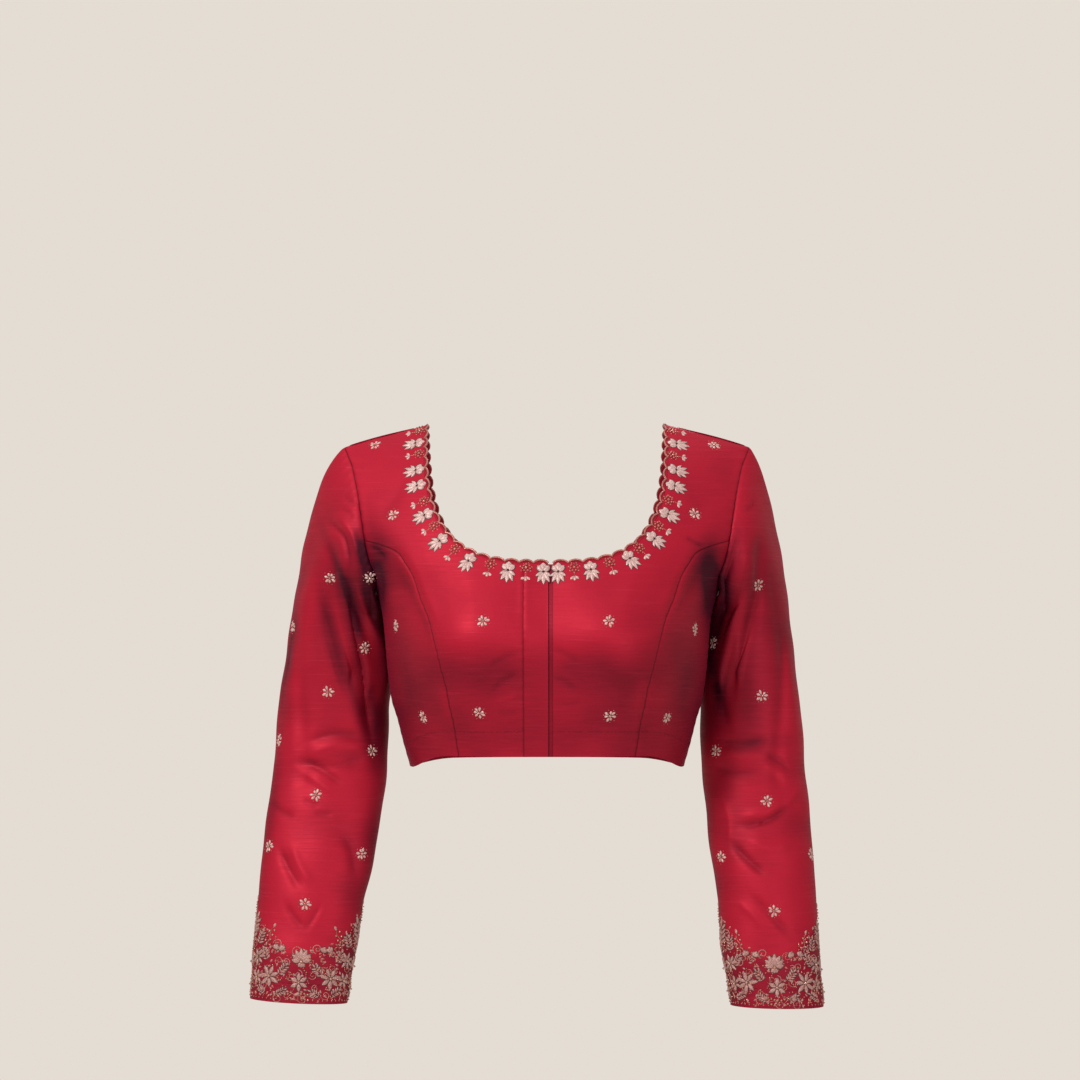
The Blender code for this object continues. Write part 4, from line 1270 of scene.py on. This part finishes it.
def shell(name, cloths, finish, closed=False):
    """Thin closed shell of cloth with what its finish reads at each point."""
    outer_points, inner_points, extras, places, faces = [], [], [], {}, []
    for cloth in cloths:
        rows, columns = cloth.outer.shape[:2]
        index = np.empty((rows, columns), int)
        keys = np.round(cloth.outer, 6)
        for i, j in np.ndindex(rows, columns):
            key = tuple(keys[i, j])
            if key not in places:
                places[key] = len(outer_points)
                outer_points.append(cloth.outer[i, j])
                inner_points.append(cloth.inner[i, j])
                extras.append((cloth.seam[i, j], cloth.stitch[i, j], cloth.purple[i, j], *cloth.place[i, j]))
            index[i, j] = places[key]
        faces += quads(np.column_stack([index, index[:, 0]]) if closed else index)
    faces = [face for face in faces if len(set(face)) == 4]
    back = len(outer_points)
    edges = {(face[n], face[(n + 1) % 4]) for face in faces for n in range(4)}
    rims = [(b, a, back + a, back + b) for a, b in edges if (b, a) not in edges]
    backs = [tuple(back + corner for corner in reversed(face)) for face in faces]
    vertices = np.array(outer_points + inner_points)
    faces = np.array(faces + backs + sorted(rims))
    if signed_volume(vertices, faces) < 0:
        faces = faces[:, ::-1]
    pile = Pile()
    pile.add(vertices, faces.tolist())
    thing = pile.build(name, [finish])
    extras = np.array(extras + extras)
    tell_finish(thing, *extras[:, :3].T, extras[:, 3:])
    thing.data.set_sharp_from_angle(angle=math.radians(60))
    return thing


def signed_volume(vertices, faces):
    corners = vertices[faces]
    first = np.einsum("ij,ij->i", corners[:, 0], np.cross(corners[:, 1], corners[:, 2])).sum()
    return first + np.einsum("ij,ij->i", corners[:, 0], np.cross(corners[:, 2], corners[:, 3])).sum()


def ground(cloths, closed=False):
    """Outer skin of some cloth, to lay stitches on."""
    points, faces = [], []
    for cloth in cloths:
        faces += quads(len(points) + numbered(*cloth.outer.shape[:2], closed))
        points += cloth.outer.reshape(-1, 3).tolist()
    return BVHTree.FromPolygons(points, faces)


Place = namedtuple("Place", "point normal up")

# What a stitch is laid with: the pile it joins, the cloth under it and its place there
Work = namedtuple("Work", "pile tree place")


def stand(point, normal, outward, up=Vector((0.0, 0.0, 1.0))):
    """Place on the cloth, with its normal turned outward and its up direction square to that."""
    if normal.dot(outward) < 0:
        normal = -normal
    return Place(point, normal, (up - normal * up.dot(normal)).normalized())


def seen_place(tree, spot, from_behind=False):
    """Point of the cloth that the camera, or one like it behind the blouse, sees at a pixel."""
    eye = Vector((0.0, EYE_DISTANCE if from_behind else -EYE_DISTANCE, EYE_HEIGHT))
    across, up = plane_place(spot)
    ray = (Vector((across, 0.0, up)) - eye).normalized()
    point, normal, _, _ = tree.ray_cast(eye, ray)
    return None if point is None else stand(point, normal, -ray)


def turned(place, degrees):
    side = place.normal.cross(place.up)
    angle = math.radians(degrees)
    return place.up * math.cos(angle) + side * math.sin(angle)


def lay(at, direction, flat):
    """Flat shape of along, across and height laid on the cloth about a place."""
    normal = at.place.normal
    side = normal.cross(direction)
    laid = []
    for along, across, height in flat:
        spot = at.place.point + direction * along + side * across
        hit, facing_up, _, _ = at.tree.ray_cast(spot + normal * REACH, -normal, 2.5 * REACH)
        if hit is None:
            laid.append(spot + normal * height)
        else:
            laid.append(hit + (facing_up if facing_up.dot(normal) >= 0 else -facing_up) * height)
    return laid


def petal_shape(form, length, width, rise, start=0.0, steps=6):
    """Domed petal of satin stitch as along, across and height, with its faces."""
    flat = []
    for step in range(steps + 1):
        share = step / steps
        if form == "tear":
            half = math.sin(math.pi * share**1.55) ** 0.75 if 0 < share < 1 else 0.06
        elif form == "leaf":
            half = (4 * share * (1 - share)) ** 1.05 + 0.03
        else:
            half = math.sqrt(max(1 - (2 * share - 1) ** 2, 0.0)) + 0.04
        bow = math.sin(math.pi * (0.06 + 0.88 * share)) ** 0.6
        for turn in PETAL_TURNS:
            height = rise * bow * (1 - turn * turn) ** 0.55 if abs(turn) < 1 else EDGE_RISE
            flat.append((start + share * length, turn * half * width / 2, height))
    return flat, quads(numbered(steps + 1, len(PETAL_TURNS)))


def petal(at, degrees, form, length, width, rise, start=0.0, finish=CREAM, rim=False):
    direction = turned(at.place, degrees)
    if rim:
        flat, faces = petal_shape(form, length + 2 * RIM, width + 2 * RIM, rise * 0.25, start - RIM)
        at.pile.add(lay(at, direction, flat), faces, DARK)
    flat, faces = petal_shape(form, length, width, rise, start)
    at.pile.add(lay(at, direction, flat), faces, finish)


def petals(at, degrees, size, form, rows, rise, start, finish=CREAM, rim=True):
    """Several petals, each with its turn in degrees, its length and its width."""
    for turn, length, width in rows:
        petal(at, degrees + turn, form, length * size, width * size, rise, start, finish, rim)


def bead(at, along, across, radius, finish=SHINE, degrees=0.0):
    """Small round bead sitting on the cloth."""
    direction = turned(at.place, degrees)
    normal = at.place.normal
    side = normal.cross(direction)
    centre = lay(at, direction, [(along, across, radius * 0.75)])[0]
    points = [centre + normal * radius]
    for ring, wide in ((0.9, 0.62), (-0.1, 1.0)):
        spread = math.sqrt(1 - ring * ring * 0.6) * radius * wide
        for step in range(BEAD_SIDES):
            angle = math.tau * step / BEAD_SIDES
            lift = centre + normal * (radius * ring * 0.75)
            points.append(lift + direction * (math.cos(angle) * spread) + side * (math.sin(angle) * spread))
    tops = quads(numbered(2, BEAD_SIDES, closed=True) + 1)
    faces = [(0, a, b) for a, b, _, _ in tops] + [(a, d, c, b) for a, b, c, d in tops]
    at.pile.add(points, faces, finish)


def thread(at, degrees, path, radius, finish=DARK):
    """Couched thread along a flat path of along and across."""
    direction = turned(at.place, degrees)
    middle = lay(at, direction, [(along, across, radius * 0.6) for along, across in path])
    points = []
    for number, centre in enumerate(middle):
        ahead = middle[min(number + 1, len(middle) - 1)] - middle[max(number - 1, 0)]
        if ahead.length < 1e-9:
            ahead = direction
        ahead = ahead.normalized()
        beside = at.place.normal.cross(ahead).normalized()
        above = ahead.cross(beside)
        for step in range(THREAD_SIDES):
            angle = math.tau * step / THREAD_SIDES
            points.append(centre + (beside * math.cos(angle) + above * math.sin(angle)) * radius)
    at.pile.add(points, quads(numbered(len(middle), THREAD_SIDES, closed=True)), finish)


def small_flower(at, degrees=0.0, size=1.0):
    """Scattered flower: seven drop-shaped petals round a bead."""
    for number in range(7):
        uneven = math.sin(2.3 * number + degrees)
        angle = degrees + number * 360 / 7 + 7.0 * uneven
        length = (0.0046 + 0.0008 * uneven) * size
        petal(at, angle, "tear", length, 0.0025 * size, 0.0008, 0.0011, CREAM)
        bead(at, 0.0064 * size, 0.0, 0.0005, GOLD, angle + 25)
    bead(at, 0.0, 0.0, 0.0011 * size, SHINE)


def neck_flower(at, degrees, size=1.0):
    """Large flower of the neck border: a rounded head towards the edge and leaves away from it."""
    petals(at, degrees, size, "leaf", FLOWER_LEAVES, 0.0009, 0.0010)
    petals(at, degrees, size, "round", FLOWER_HEAD, 0.0013, 0.0002)
    bead(at, 0.0, 0.0, 0.0010, DARK)
    thread(at, degrees + 180, [(-0.003, 0.0), (0.0, 0.0004), (0.0045, 0.0)], 0.00035, DARK)


def neck_cluster(at, degrees):
    """Gold rosette near the edge with a small sprig further in."""
    for number in range(7):
        bead(at, 0.0034, 0.0, 0.0011, GOLD, degrees + number * 360 / 7)
        petal(at, degrees + 25 + number * 360 / 7, "tear", 0.0016, 0.0018, 0.0005, 0.0042, GOLD)
    bead(at, 0.0, 0.0, 0.0013, SHINE, degrees)
    stem = moved(at, degrees + 180, 0.0086)
    for angle in (0, -48, 48):
        petal(stem, degrees + 180 + angle, "tear", 0.0048, 0.0026, 0.0007, 0.0004, CREAM)
    thread(at, degrees + 180, [(0.0050, 0.0), (0.0068, 0.0003), (0.0088, 0.0)], 0.00030, GOLD)


def moved(at, degrees, distance):
    """The same work at a place a little further on."""
    point = at.place.point + turned(at.place, degrees) * distance
    return at._replace(place=at.place._replace(point=point))


def star(at, degrees, size):
    petals(at, degrees, size, "leaf", [(60 * number, 0.0082, 0.0040) for number in range(6)], 0.0009, 0.0010)
    bead(at, 0.0, 0.0, 0.0014, SHINE)


def lotus(at, degrees, size):
    rows = [(side * turn, length, 0.0050) for turn, length in LOTUS_SIDES for side in (-1, 1)]
    petals(at, degrees, size, "leaf", rows + [(0, 0.0122, 0.0050)], 0.0011, 0.0012)
    petals(at, degrees, size, "round", [(turn, 0.0052, 0.0036) for turn in (150, 180, 210)], 0.0008, 0.0006)
    bead(at, 0.0, 0.0, 0.0016, SHINE)


def bud(at, degrees, size):
    petals(at, degrees, size, "round", BUD_HEAD, 0.0013, 0.0)
    petals(at, degrees, size, "leaf", BUD_LEAVES, 0.0006, 0.0008, GOLD, False)


def pointed(at, degrees, size):
    rows = [(number * 360 / 7, 0.0112 if number % 2 else 0.0098, 0.0042) for number in range(7)]
    petals(at, degrees, size, "leaf", rows, 0.0009, 0.0012)
    bead(at, 0.0, 0.0, 0.0015, SHINE)


def sprig(at, degrees, size):
    path = [(0.0026 * step * size, 0.0012 * math.sin(step * 0.9)) for step in range(-3, 4)]
    thread(at, degrees, path, 0.00032, GOLD)
    for number in range(6):
        side = -1 if number % 2 else 1
        bead(at, (number - 2.5) * 0.0026 * size, side * 0.0024, 0.0010, SHINE, degrees)
    petal(at, degrees, "tear", 0.0052, 0.0026, 0.0008, 0.0080 * size, CREAM)


def leaves(at, degrees, size):
    path = [(0.0030 * step * size, 0.0010 * math.sin(step * 0.8)) for step in range(-4, 4)]
    thread(at, degrees, path, 0.00034, GOLD)
    for number in range(4):
        root = moved(at, degrees, (number - 2.4) * 0.0052 * size)
        petals(root, degrees, size, "leaf", ((-52, 0.0088, 0.0036), (52, 0.0088, 0.0036)), 0.0009, 0.0006)
    petal(at, degrees, "leaf", 0.0092 * size, 0.0038 * size, 0.0009, 0.0070 * size, CREAM, True)


MOTIFS = {"star": star, "lotus": lotus, "bud": bud, "pointed": pointed, "sprig": sprig, "leaves": leaves}


def curl_path(turns, size):
    """Flat spiral of couched thread."""
    path = []
    for share in [step / 14 for step in range(15)]:
        angle = turns * math.tau * share
        radius = size * (1 - 0.82 * share)
        path.append((radius * math.cos(angle) - size, radius * math.sin(angle)))
    return path


def colour(red, green, blue):
    """Linear colour from the usual 0 to 255 values."""
    shares = [value / 255 for value in (red, green, blue)]
    linear = [share / 12.92 if share <= 0.04045 else ((share + 0.055) / 1.055) ** 2.4 for share in shares]
    return (*linear, 1.0)


class Graph:
    """Short way to write a material's nodes."""

    def __init__(self, name):
        self.material = bpy.data.materials.new(name)
        self.material.use_nodes = True
        self.nodes = self.material.node_tree.nodes
        self.shader = self.nodes["Principled BSDF"]

    def put(self, socket, value):
        if isinstance(value, bpy.types.NodeSocket):
            self.material.node_tree.links.new(value, socket)
        else:
            socket.default_value = value

    def add(self, kind, inputs, **settings):
        """New node with its settings and inputs, given back as its outputs."""
        node = self.nodes.new("ShaderNode" + kind)
        for name, value in settings.items():
            setattr(node, name, value)
        for place, value in inputs.items():
            self.put(node.inputs[place], value)
        return node.outputs

    def attribute(self, name, output="Fac"):
        return self.add("Attribute", {}, attribute_name=name)[output]

    def where(self):
        return self.add("TexCoord", {})["Object"]

    def maths(self, operation, first, second=0.0, clamp=False):
        return self.add("Math", {0: first, 1: second}, operation=operation, use_clamp=clamp)[0]

    def times(self, value, amount):
        return self.maths("MULTIPLY", value, amount)

    def noise(self, vector, scale, detail=2.0, roughness=0.5):
        inputs = {"Vector": vector, "Scale": scale, "Detail": detail, "Roughness": roughness}
        return self.add("TexNoise", inputs)["Fac"]

    def weave(self, vector, stretch, detail, roughness=0.5):
        """Noise with a scale of its own along each direction."""
        stretched = self.add("VectorMath", {0: vector, 1: stretch}, operation="MULTIPLY")[0]
        return self.noise(stretched, 1.0, detail, roughness)

    def ranged(self, value, low, high, start=0.0, end=1.0):
        limits = {"Value": value, "From Min": low, "From Max": high, "To Min": start, "To Max": end}
        return self.add("MapRange", limits)["Result"]

    def mix(self, share, first, second):
        return self.add("Mix", {0: share, 6: first, 7: second}, data_type="RGBA")[2]

    def bump(self, height):
        bumped = self.add("Bump", {"Height": height, "Strength": 1.0, "Distance": 1.0})
        self.put(self.shader.inputs["Normal"], bumped["Normal"])

    def set(self, **values):
        for name, value in values.items():
            self.put(self.shader.inputs[name.replace("_", " ")], value)


def silk_finish():
    """Shot silk: red and dark purple mixed by the purple attribute, which also carries painted shade and
    light, crosswise slubs, seam grooves and stitch lines.
    """
    graph = Graph("shot_silk")
    place = graph.attribute("cloth", "Vector")
    slub = graph.weave(place, (34.0, 620.0, 60.0), 3.0, 0.62)
    thick_yarn = graph.ranged(graph.weave(place, (16.0, 330.0, 40.0), 1.0), 0.60, 0.74)
    tone = graph.weave(place, (9.0, 14.0, 20.0), 2.0)
    grain = graph.weave(place, (1500.0, 2100.0, 60.0), 1.0)
    crumple = graph.weave(place, (70.0, 55.0, 30.0), 3.0, 0.55)
    share = graph.maths("ADD", graph.attribute("purple"), graph.ranged(slub, 0.3, 0.7, -0.07, 0.07))
    share = graph.maths("ADD", share, graph.ranged(tone, 0.3, 0.7, -0.10, 0.10), clamp=True)
    # The purple attribute holds the shot silk's yarn and also painted shade, with painted light on crease
    # ridges
    shade = graph.mix(share, colour(180, 24, 50), colour(66, 4, 28))
    shade = graph.mix(graph.times(thick_yarn, 0.09), shade, colour(206, 58, 84))
    # Dark seam grooves, and on the underlap beside the overlap's edge a painted shadow
    groove_and_painted_shadow = graph.ranged(graph.attribute("seam"), 0.0, 0.0012, 0.50, 0.0)
    shade = graph.mix(groove_and_painted_shadow, shade, colour(50, 4, 18))
    line = graph.ranged(graph.maths("ABSOLUTE", graph.attribute("stitch")), 0.0004, 0.0011, 1.0, 0.0)
    line = graph.times(line, graph.ranged(graph.weave(place, (420.0, 420.0, 0.0), 0.0), 0.42, 0.50))
    shade = graph.mix(graph.times(line, 0.35), shade, colour(92, 10, 30))
    graph.set(Base_Color=shade, Metallic=0.30, Specular_IOR_Level=0.18)
    graph.set(Roughness=graph.ranged(slub, 0.3, 0.7, 0.50, 0.60))
    graph.set(Sheen_Weight=0.12, Sheen_Roughness=0.40, Sheen_Tint=colour(206, 70, 120))
    height = graph.times(slub, 0.00007)
    for part, amount in ((thick_yarn, 0.00010), (grain, 0.00003), (crumple, 0.00022), (line, -0.00018)):
        height = graph.maths("ADD", height, graph.times(part, amount))
    graph.bump(height)
    return graph.material


def thread_finish(look):
    """Satin stitches or metal thread, with fine strands."""
    graph = Graph(look.name)
    light, deep = colour(*look.light), colour(*look.deep)
    strand = graph.noise(graph.where(), 1400.0, 2.0, 0.6)
    patch = graph.noise(graph.where(), 180.0, 1.0)
    shade = graph.mix(graph.ranged(strand, 0.35, 0.65), deep, light)
    shade = graph.mix(graph.ranged(patch, 0.45, 0.70, 0.0, 0.35), shade, deep)
    graph.set(Base_Color=shade, Metallic=look.metallic, Roughness=look.roughness)
    graph.set(Sheen_Weight=0.15, Sheen_Roughness=0.4)
    graph.bump(graph.times(strand, 0.00012))
    return graph.material


def floor_finish():
    graph = Graph("floor")
    speck = graph.noise(graph.where(), 3.0)
    graph.set(Base_Color=graph.mix(speck, colour(220, 213, 205), colour(227, 221, 213)), Roughness=0.8)
    return graph.material


def lobe_count(edge):
    """Number of scallops along an edge."""
    return round(np.linalg.norm(np.diff(edge, axis=0), axis=1).sum() / SCALLOP_PITCH)


def scallops(name, outer, inner, cloth, silk, gold):
    """Scalloped edge of silk with a metal cord along it, from the points of a neck edge."""
    lobes = lobe_count(outer)
    share = np.linspace(0, 1, lobes * SCALLOP_STEPS + 1)
    lines = evenly(np.concatenate([outer, inner - outer, outer - cloth], axis=1), share)
    edge, normal, away = lines[:, :3], -unit(lines[:, 3:6]), lines[:, 6:]
    away = square_to(edge, away - normal * dots(away, normal))
    bow = SCALLOP_DEPTH * np.abs(np.sin(math.pi * lobes * share)) ** 0.7
    ends = (0.0, EDGING_FLAT, (EDGING_WIDTH * 0.5 + bow * 0.9)[:, None])
    skins = [edge + away * end + normal * rise for rise in (EDGING_LIFT, -WALL) for end in ends]
    pile = Pile()
    around = [0, 1, 2, 5, 4, 3, 0]
    pile.add(np.concatenate(skins), quads(numbered(len(skins), len(edge))[around]))
    middle = edge + away * (EDGING_WIDTH * 0.5 + bow)[:, None] + normal * CORD_LIFT
    ahead = unit(np.gradient(middle, axis=0))
    beside = unit(np.cross(normal, ahead))
    above = np.cross(ahead, beside)
    tube = []
    for step in range(CORD_SIDES):
        angle = math.tau * step / CORD_SIDES
        radius = CORD_RADIUS * (1 + CORD_TWIST * np.sin(np.arange(len(edge)) * 2.1 + 2 * angle))
        tube.append(middle + (beside * math.cos(angle) + above * math.sin(angle)) * radius[:, None])
    around = [*range(CORD_SIDES), 0]
    pile.add(np.concatenate(tube), quads(numbered(CORD_SIDES, len(edge))[around]), finish=1)
    trim = pile.build(name, [silk, gold])
    tell_finish(trim, NO_SEAM, NO_SEAM, EDGING_PURPLE, pile.points)
    return trim


def square_to(line, across):
    """The part of each arrow that is square to a line."""
    along = unit(np.gradient(line, axis=0))
    return unit(across - along * dots(across, along))


def neck_frames(outer, cloth):
    """Points along a neck edge, one in the middle of each scallop, each with the way into the cloth."""
    lobes = lobe_count(outer)
    share = (np.arange(lobes) + 0.5) / lobes
    both = evenly(np.concatenate([outer, square_to(outer, cloth - outer)], axis=1), share)
    return [(Vector(row[:3]), Vector(row[3:])) for row in both]


def place_in(tree, point, inward, depth):
    """Place on the cloth at a depth from the edge, with its up direction turned to the edge."""
    hit, normal, _, _ = tree.find_nearest(point + inward.normalized() * depth)
    outward = Vector((hit.x, hit.y - 0.012, max(hit.z + 0.09, 0.0)))
    return stand(hit, normal, outward, -inward)


def border_front(pile, tree, outer, cloth, name):
    """Border of a front neck edge: each motif lies inwards from the edge point nearest to its pixel."""
    edge = picture(outer)
    inward = square_to(outer, cloth - outer)
    for pixels, motif, depth in (
        (NECK_ROSETTE_PIXELS, neck_cluster, ROSETTE_DEPTH),
        (NECK_FLOWER_PIXELS, neck_flower, FLOWER_DEPTH),
    ):
        for pixel in pixels[name]:
            nearest = np.argmin(np.linalg.norm(edge - plane_place(pixel), axis=1))
            place = place_in(tree, Vector(outer[nearest]), Vector(inward[nearest]), depth)
            motif(Work(pile, tree, place), 0.0)


def border_back(pile, tree, frames):
    """Border of the back neck edge: a flower or a rosette at each scallop, by turns."""
    for number, (point, inward) in enumerate(frames):
        if (number % 2 == 0) == (number <= SWAP_SCALLOP):
            neck_cluster(Work(pile, tree, place_in(tree, point, inward, ROSETTE_DEPTH)), 0.0)
        else:
            neck_flower(Work(pile, tree, place_in(tree, point, inward, FLOWER_DEPTH)), 0.0)


def ring_place(tree, cut, turn, height):
    """Place on a sleeve at a turn in degrees from its outer side and a height over its cuff."""
    drop = cut.cuff_drop - height
    point = Vector(sleeve_section(cut, np.radians(turn), drop))
    middle = Vector(sleeve_section(cut, np.radians(turn + 180.0), drop))
    hit, normal, _, _ = tree.find_nearest(point)
    return stand(hit, normal, point - middle)


def border_cuff(pile, tree, cut):
    """Floral border round a cuff, the same on its front and back."""
    for face_turn in (90.0, 270.0):
        for motif in CUFF_MOTIFS:
            for side in (1, -1) if 0 < motif.turn < 90 else (1,):
                place = ring_place(tree, cut, face_turn + motif.turn * side * cut.side, motif.height)
                MOTIFS[motif.kind](Work(pile, tree, place), motif.lean * side * cut.side, motif.size)
    chance = np.random.default_rng(21)
    for number in range(SEED_BEADS):
        turn = chance.uniform(0, 360)
        low = chance.uniform(0, 1) ** 1.3
        height = 0.004 + low * (border_height(math.radians(turn)) - 0.002)
        at = Work(pile, tree, ring_place(tree, cut, turn, height))
        if number % 3 == 0:
            finish = CREAM if number % 2 else GOLD
            petal(at, chance.uniform(0, 360), "tear", 0.0036, 0.0018, 0.0006, 0.0, finish)
        else:
            bead(at, 0.0, 0.0, 0.0007, SHINE if number % 4 == 0 else GOLD)
    for number in range(CURLS):
        turn = 360.0 * (number + 0.5) / CURLS
        height = border_height(math.radians(turn)) * CURL_HEIGHTS[number % len(CURL_HEIGHTS)]
        path = curl_path(CURL_TURNS if number % 2 else -CURL_TURNS, CURL_SIZES[number % len(CURL_SIZES)])
        at = Work(pile, tree, ring_place(tree, cut, turn, height))
        thread(at, 40.0 * (number % 5), path, 0.00036, GOLD if number % 4 else CREAM)
    for number in range(RIM_BEADS):
        at = Work(pile, tree, ring_place(tree, cut, 360.0 * number / RIM_BEADS, 0.0032))
        bead(at, 0.0, 0.0, 0.0007, GOLD)


def add_light(light):
    data = bpy.data.lights.new(light.name, "AREA")
    data.shape = "DISK"
    data.size = light.size
    data.energy = light.power
    data.color = light.tint
    lamp = bpy.data.objects.new(light.name, data)
    lamp.location = light.place
    lamp.rotation_euler = (Vector(LIT_PLACE) - Vector(light.place)).to_track_quat("-Z", "Y").to_euler()
    bpy.context.scene.collection.objects.link(lamp)


def set_camera():
    data = bpy.data.cameras.new("camera")
    data.sensor_width = SENSOR
    data.lens = EYE_DISTANCE / PIXEL / PICTURE_SIZE * SENSOR
    data.shift_x = (PICTURE_SIZE / 2 - CENTRE_PIXEL_ACROSS) / PICTURE_SIZE
    data.shift_y = (EYE_PIXEL_DOWN - PICTURE_SIZE / 2) / PICTURE_SIZE
    camera = bpy.data.objects.new("camera", data)
    camera.location = (0.0, -EYE_DISTANCE, EYE_HEIGHT)
    camera.rotation_euler = (math.radians(90.0), 0.0, 0.0)
    bpy.context.scene.collection.objects.link(camera)
    bpy.context.scene.camera = camera


def set_light():
    world = bpy.data.worlds.new("room")
    world.use_nodes = True
    nodes, links = world.node_tree.nodes, world.node_tree.links
    background = nodes["Background"]
    background.inputs["Color"].default_value = colour(244, 236, 226)
    amount = nodes.new("ShaderNodeMapRange")
    amount.inputs["To Min"].default_value = ROOM_LIGHT
    amount.inputs["To Max"].default_value = ROOM_PALENESS
    links.new(nodes.new("ShaderNodeLightPath").outputs["Is Camera Ray"], amount.inputs["Value"])
    links.new(amount.outputs["Result"], background.inputs["Strength"])
    bpy.context.scene.world = world
    for light in LIGHTS:
        add_light(light)
    bpy.context.scene.view_settings.view_transform = "Standard"


def set_floor():
    pile = Pile()
    turns = [number * math.tau / 96 for number in range(96)]
    rim = [(FLOOR_RADIUS * math.cos(turn), FLOOR_RADIUS * math.sin(turn), FLOOR_HEIGHT) for turn in turns]
    pile.add(rim, [tuple(range(len(rim)))])
    floor = pile.build("floor", [floor_finish()], smooth=False)


def neck_edge(panel, start):
    """A panel's neck edge from a row on: its outer and inner points, and the cloth beside them."""
    return [panel.outer[start:, 0], panel.inner[start:, 0], panel.outer[start:, 2]]


def neck_edges(panels, halves, overlap):
    """The neck edge's three stretches, by the names of their edging. The right one crosses the overlap."""
    right, left = [neck_edge(panels["front_centre_" + name], CENTRE_ROWS + 1) for name in CUTS]
    top = [overlap.outer[-1, ::-1], overlap.inner[-1, ::-1], overlap.outer[-2, ::-1]]
    right = [np.concatenate(both) for both in zip(top, right)]
    sides = [neck_edge(half, BACK_ROWS + 1) for half in halves]
    back = [join(first[::-1], second) for first, second in zip(*sides)]
    return {"front_right": right, "front_left": left, "back": back}


def embroider(pile, name, finishes):
    """The stitches and beads of a pile as one piece."""
    piece = pile.build(name, finishes)
    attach(piece, "root")
    return piece


def scatter(pile, tree, pixels, from_behind, turn):
    """Small flowers where the camera, or one like it behind the blouse, sees these pixels."""
    for number, pixel in enumerate(pixels):
        place = seen_place(tree, pixel, from_behind)
        if place is not None:
            small_flower(Work(pile, tree, place), turn * number)


def neck_pieces(edges, body, silk, finishes):
    """Edging and border of each stretch of the neck edge. The borders are given back."""
    borders = {}
    for name, (outer, inner, cloth) in edges.items():
        piece = scallops("neck_edging_" + name + "_trim", outer, inner, cloth, silk, finishes[GOLD])
        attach(piece, "root")
        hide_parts("neck_edging_" + name)
        pile = Pile()
        if name == "back":
            border_back(pile, body, neck_frames(outer, cloth))
        else:
            border_front(pile, body, outer, cloth, name)
        borders[name] = embroider(pile, "neck_border_" + name, finishes)
    return borders


def main():
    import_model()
    silk = silk_finish()
    looks = (CREAM_LOOK, GOLD_LOOK, DARK_LOOK, SHINE_LOOK)
    finishes = [thread_finish(look) for look in looks]
    cuff_finishes = [thread_finish(DUSTY_LOOK), *finishes[GOLD:]]

    panels = fronts()
    halves = back_halves()
    sleeves = {name: sleeve_cloth(name, cut) for name, cut in CUTS.items()}
    overlap = strip_cloth(OVERLAP_SEAM + SEAM_GAP / 2, OVERLAP_EDGE, 0.0, 10)
    underlap = strip_cloth(UNDERLAP_RIGHT, UNDERLAP_LEFT, UNDERLAP_DEPTH, 25)
    flipped = Cloth(*[values[:, ::-1] for values in halves[0]])
    cloths = {name: [cloth] for name, cloth in panels.items()}
    cloths["back"] = [flipped, halves[1]]
    cloths["placket_overlap"] = [overlap]
    cloths["placket_underlap"] = [underlap]
    made = {name: shell(name + "_cloth", pieces, silk) for name, pieces in cloths.items()}
    for name, cloth in sleeves.items():
        made["sleeve_" + name] = shell(f"sleeve_{name}_cloth", [cloth], silk, closed=True)

    body = ground([*panels.values(), flipped, halves[1], overlap])
    borders = neck_pieces(neck_edges(panels, halves, overlap), body, silk, finishes)
    going_with = {name: [] for name in made}
    going_with["front_centre_right"].append(borders["front_right"])
    going_with["front_centre_left"].append(borders["front_left"])
    going_with["back"].append(borders["back"])
    for label, owner in (("front", "front_centre_right"), ("back", "back")):
        pile = Pile()
        scatter(pile, body, BODY_PIXELS, label == "back", 17.0)
        going_with[owner].append(embroider(pile, "flowers_" + label, finishes))
    for name, pixels in (("right", RIGHT_SLEEVE_PIXELS), ("left", LEFT_SLEEVE_PIXELS)):
        tree = ground([sleeves[name]], closed=True)
        flowers, border = Pile(), Pile()
        for from_behind in (False, True):
            scatter(flowers, tree, pixels, from_behind, 23.0)
        border_cuff(border, tree, CUTS[name])
        going_with["sleeve_" + name] += [
            embroider(flowers, f"flowers_sleeve_{name}", finishes),
            embroider(border, f"cuff_border_{name}", cuff_finishes),
        ]

    for name, piece in made.items():
        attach(piece, "root")
        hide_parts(name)
    set_floor()
    set_camera()
    set_light()


main()
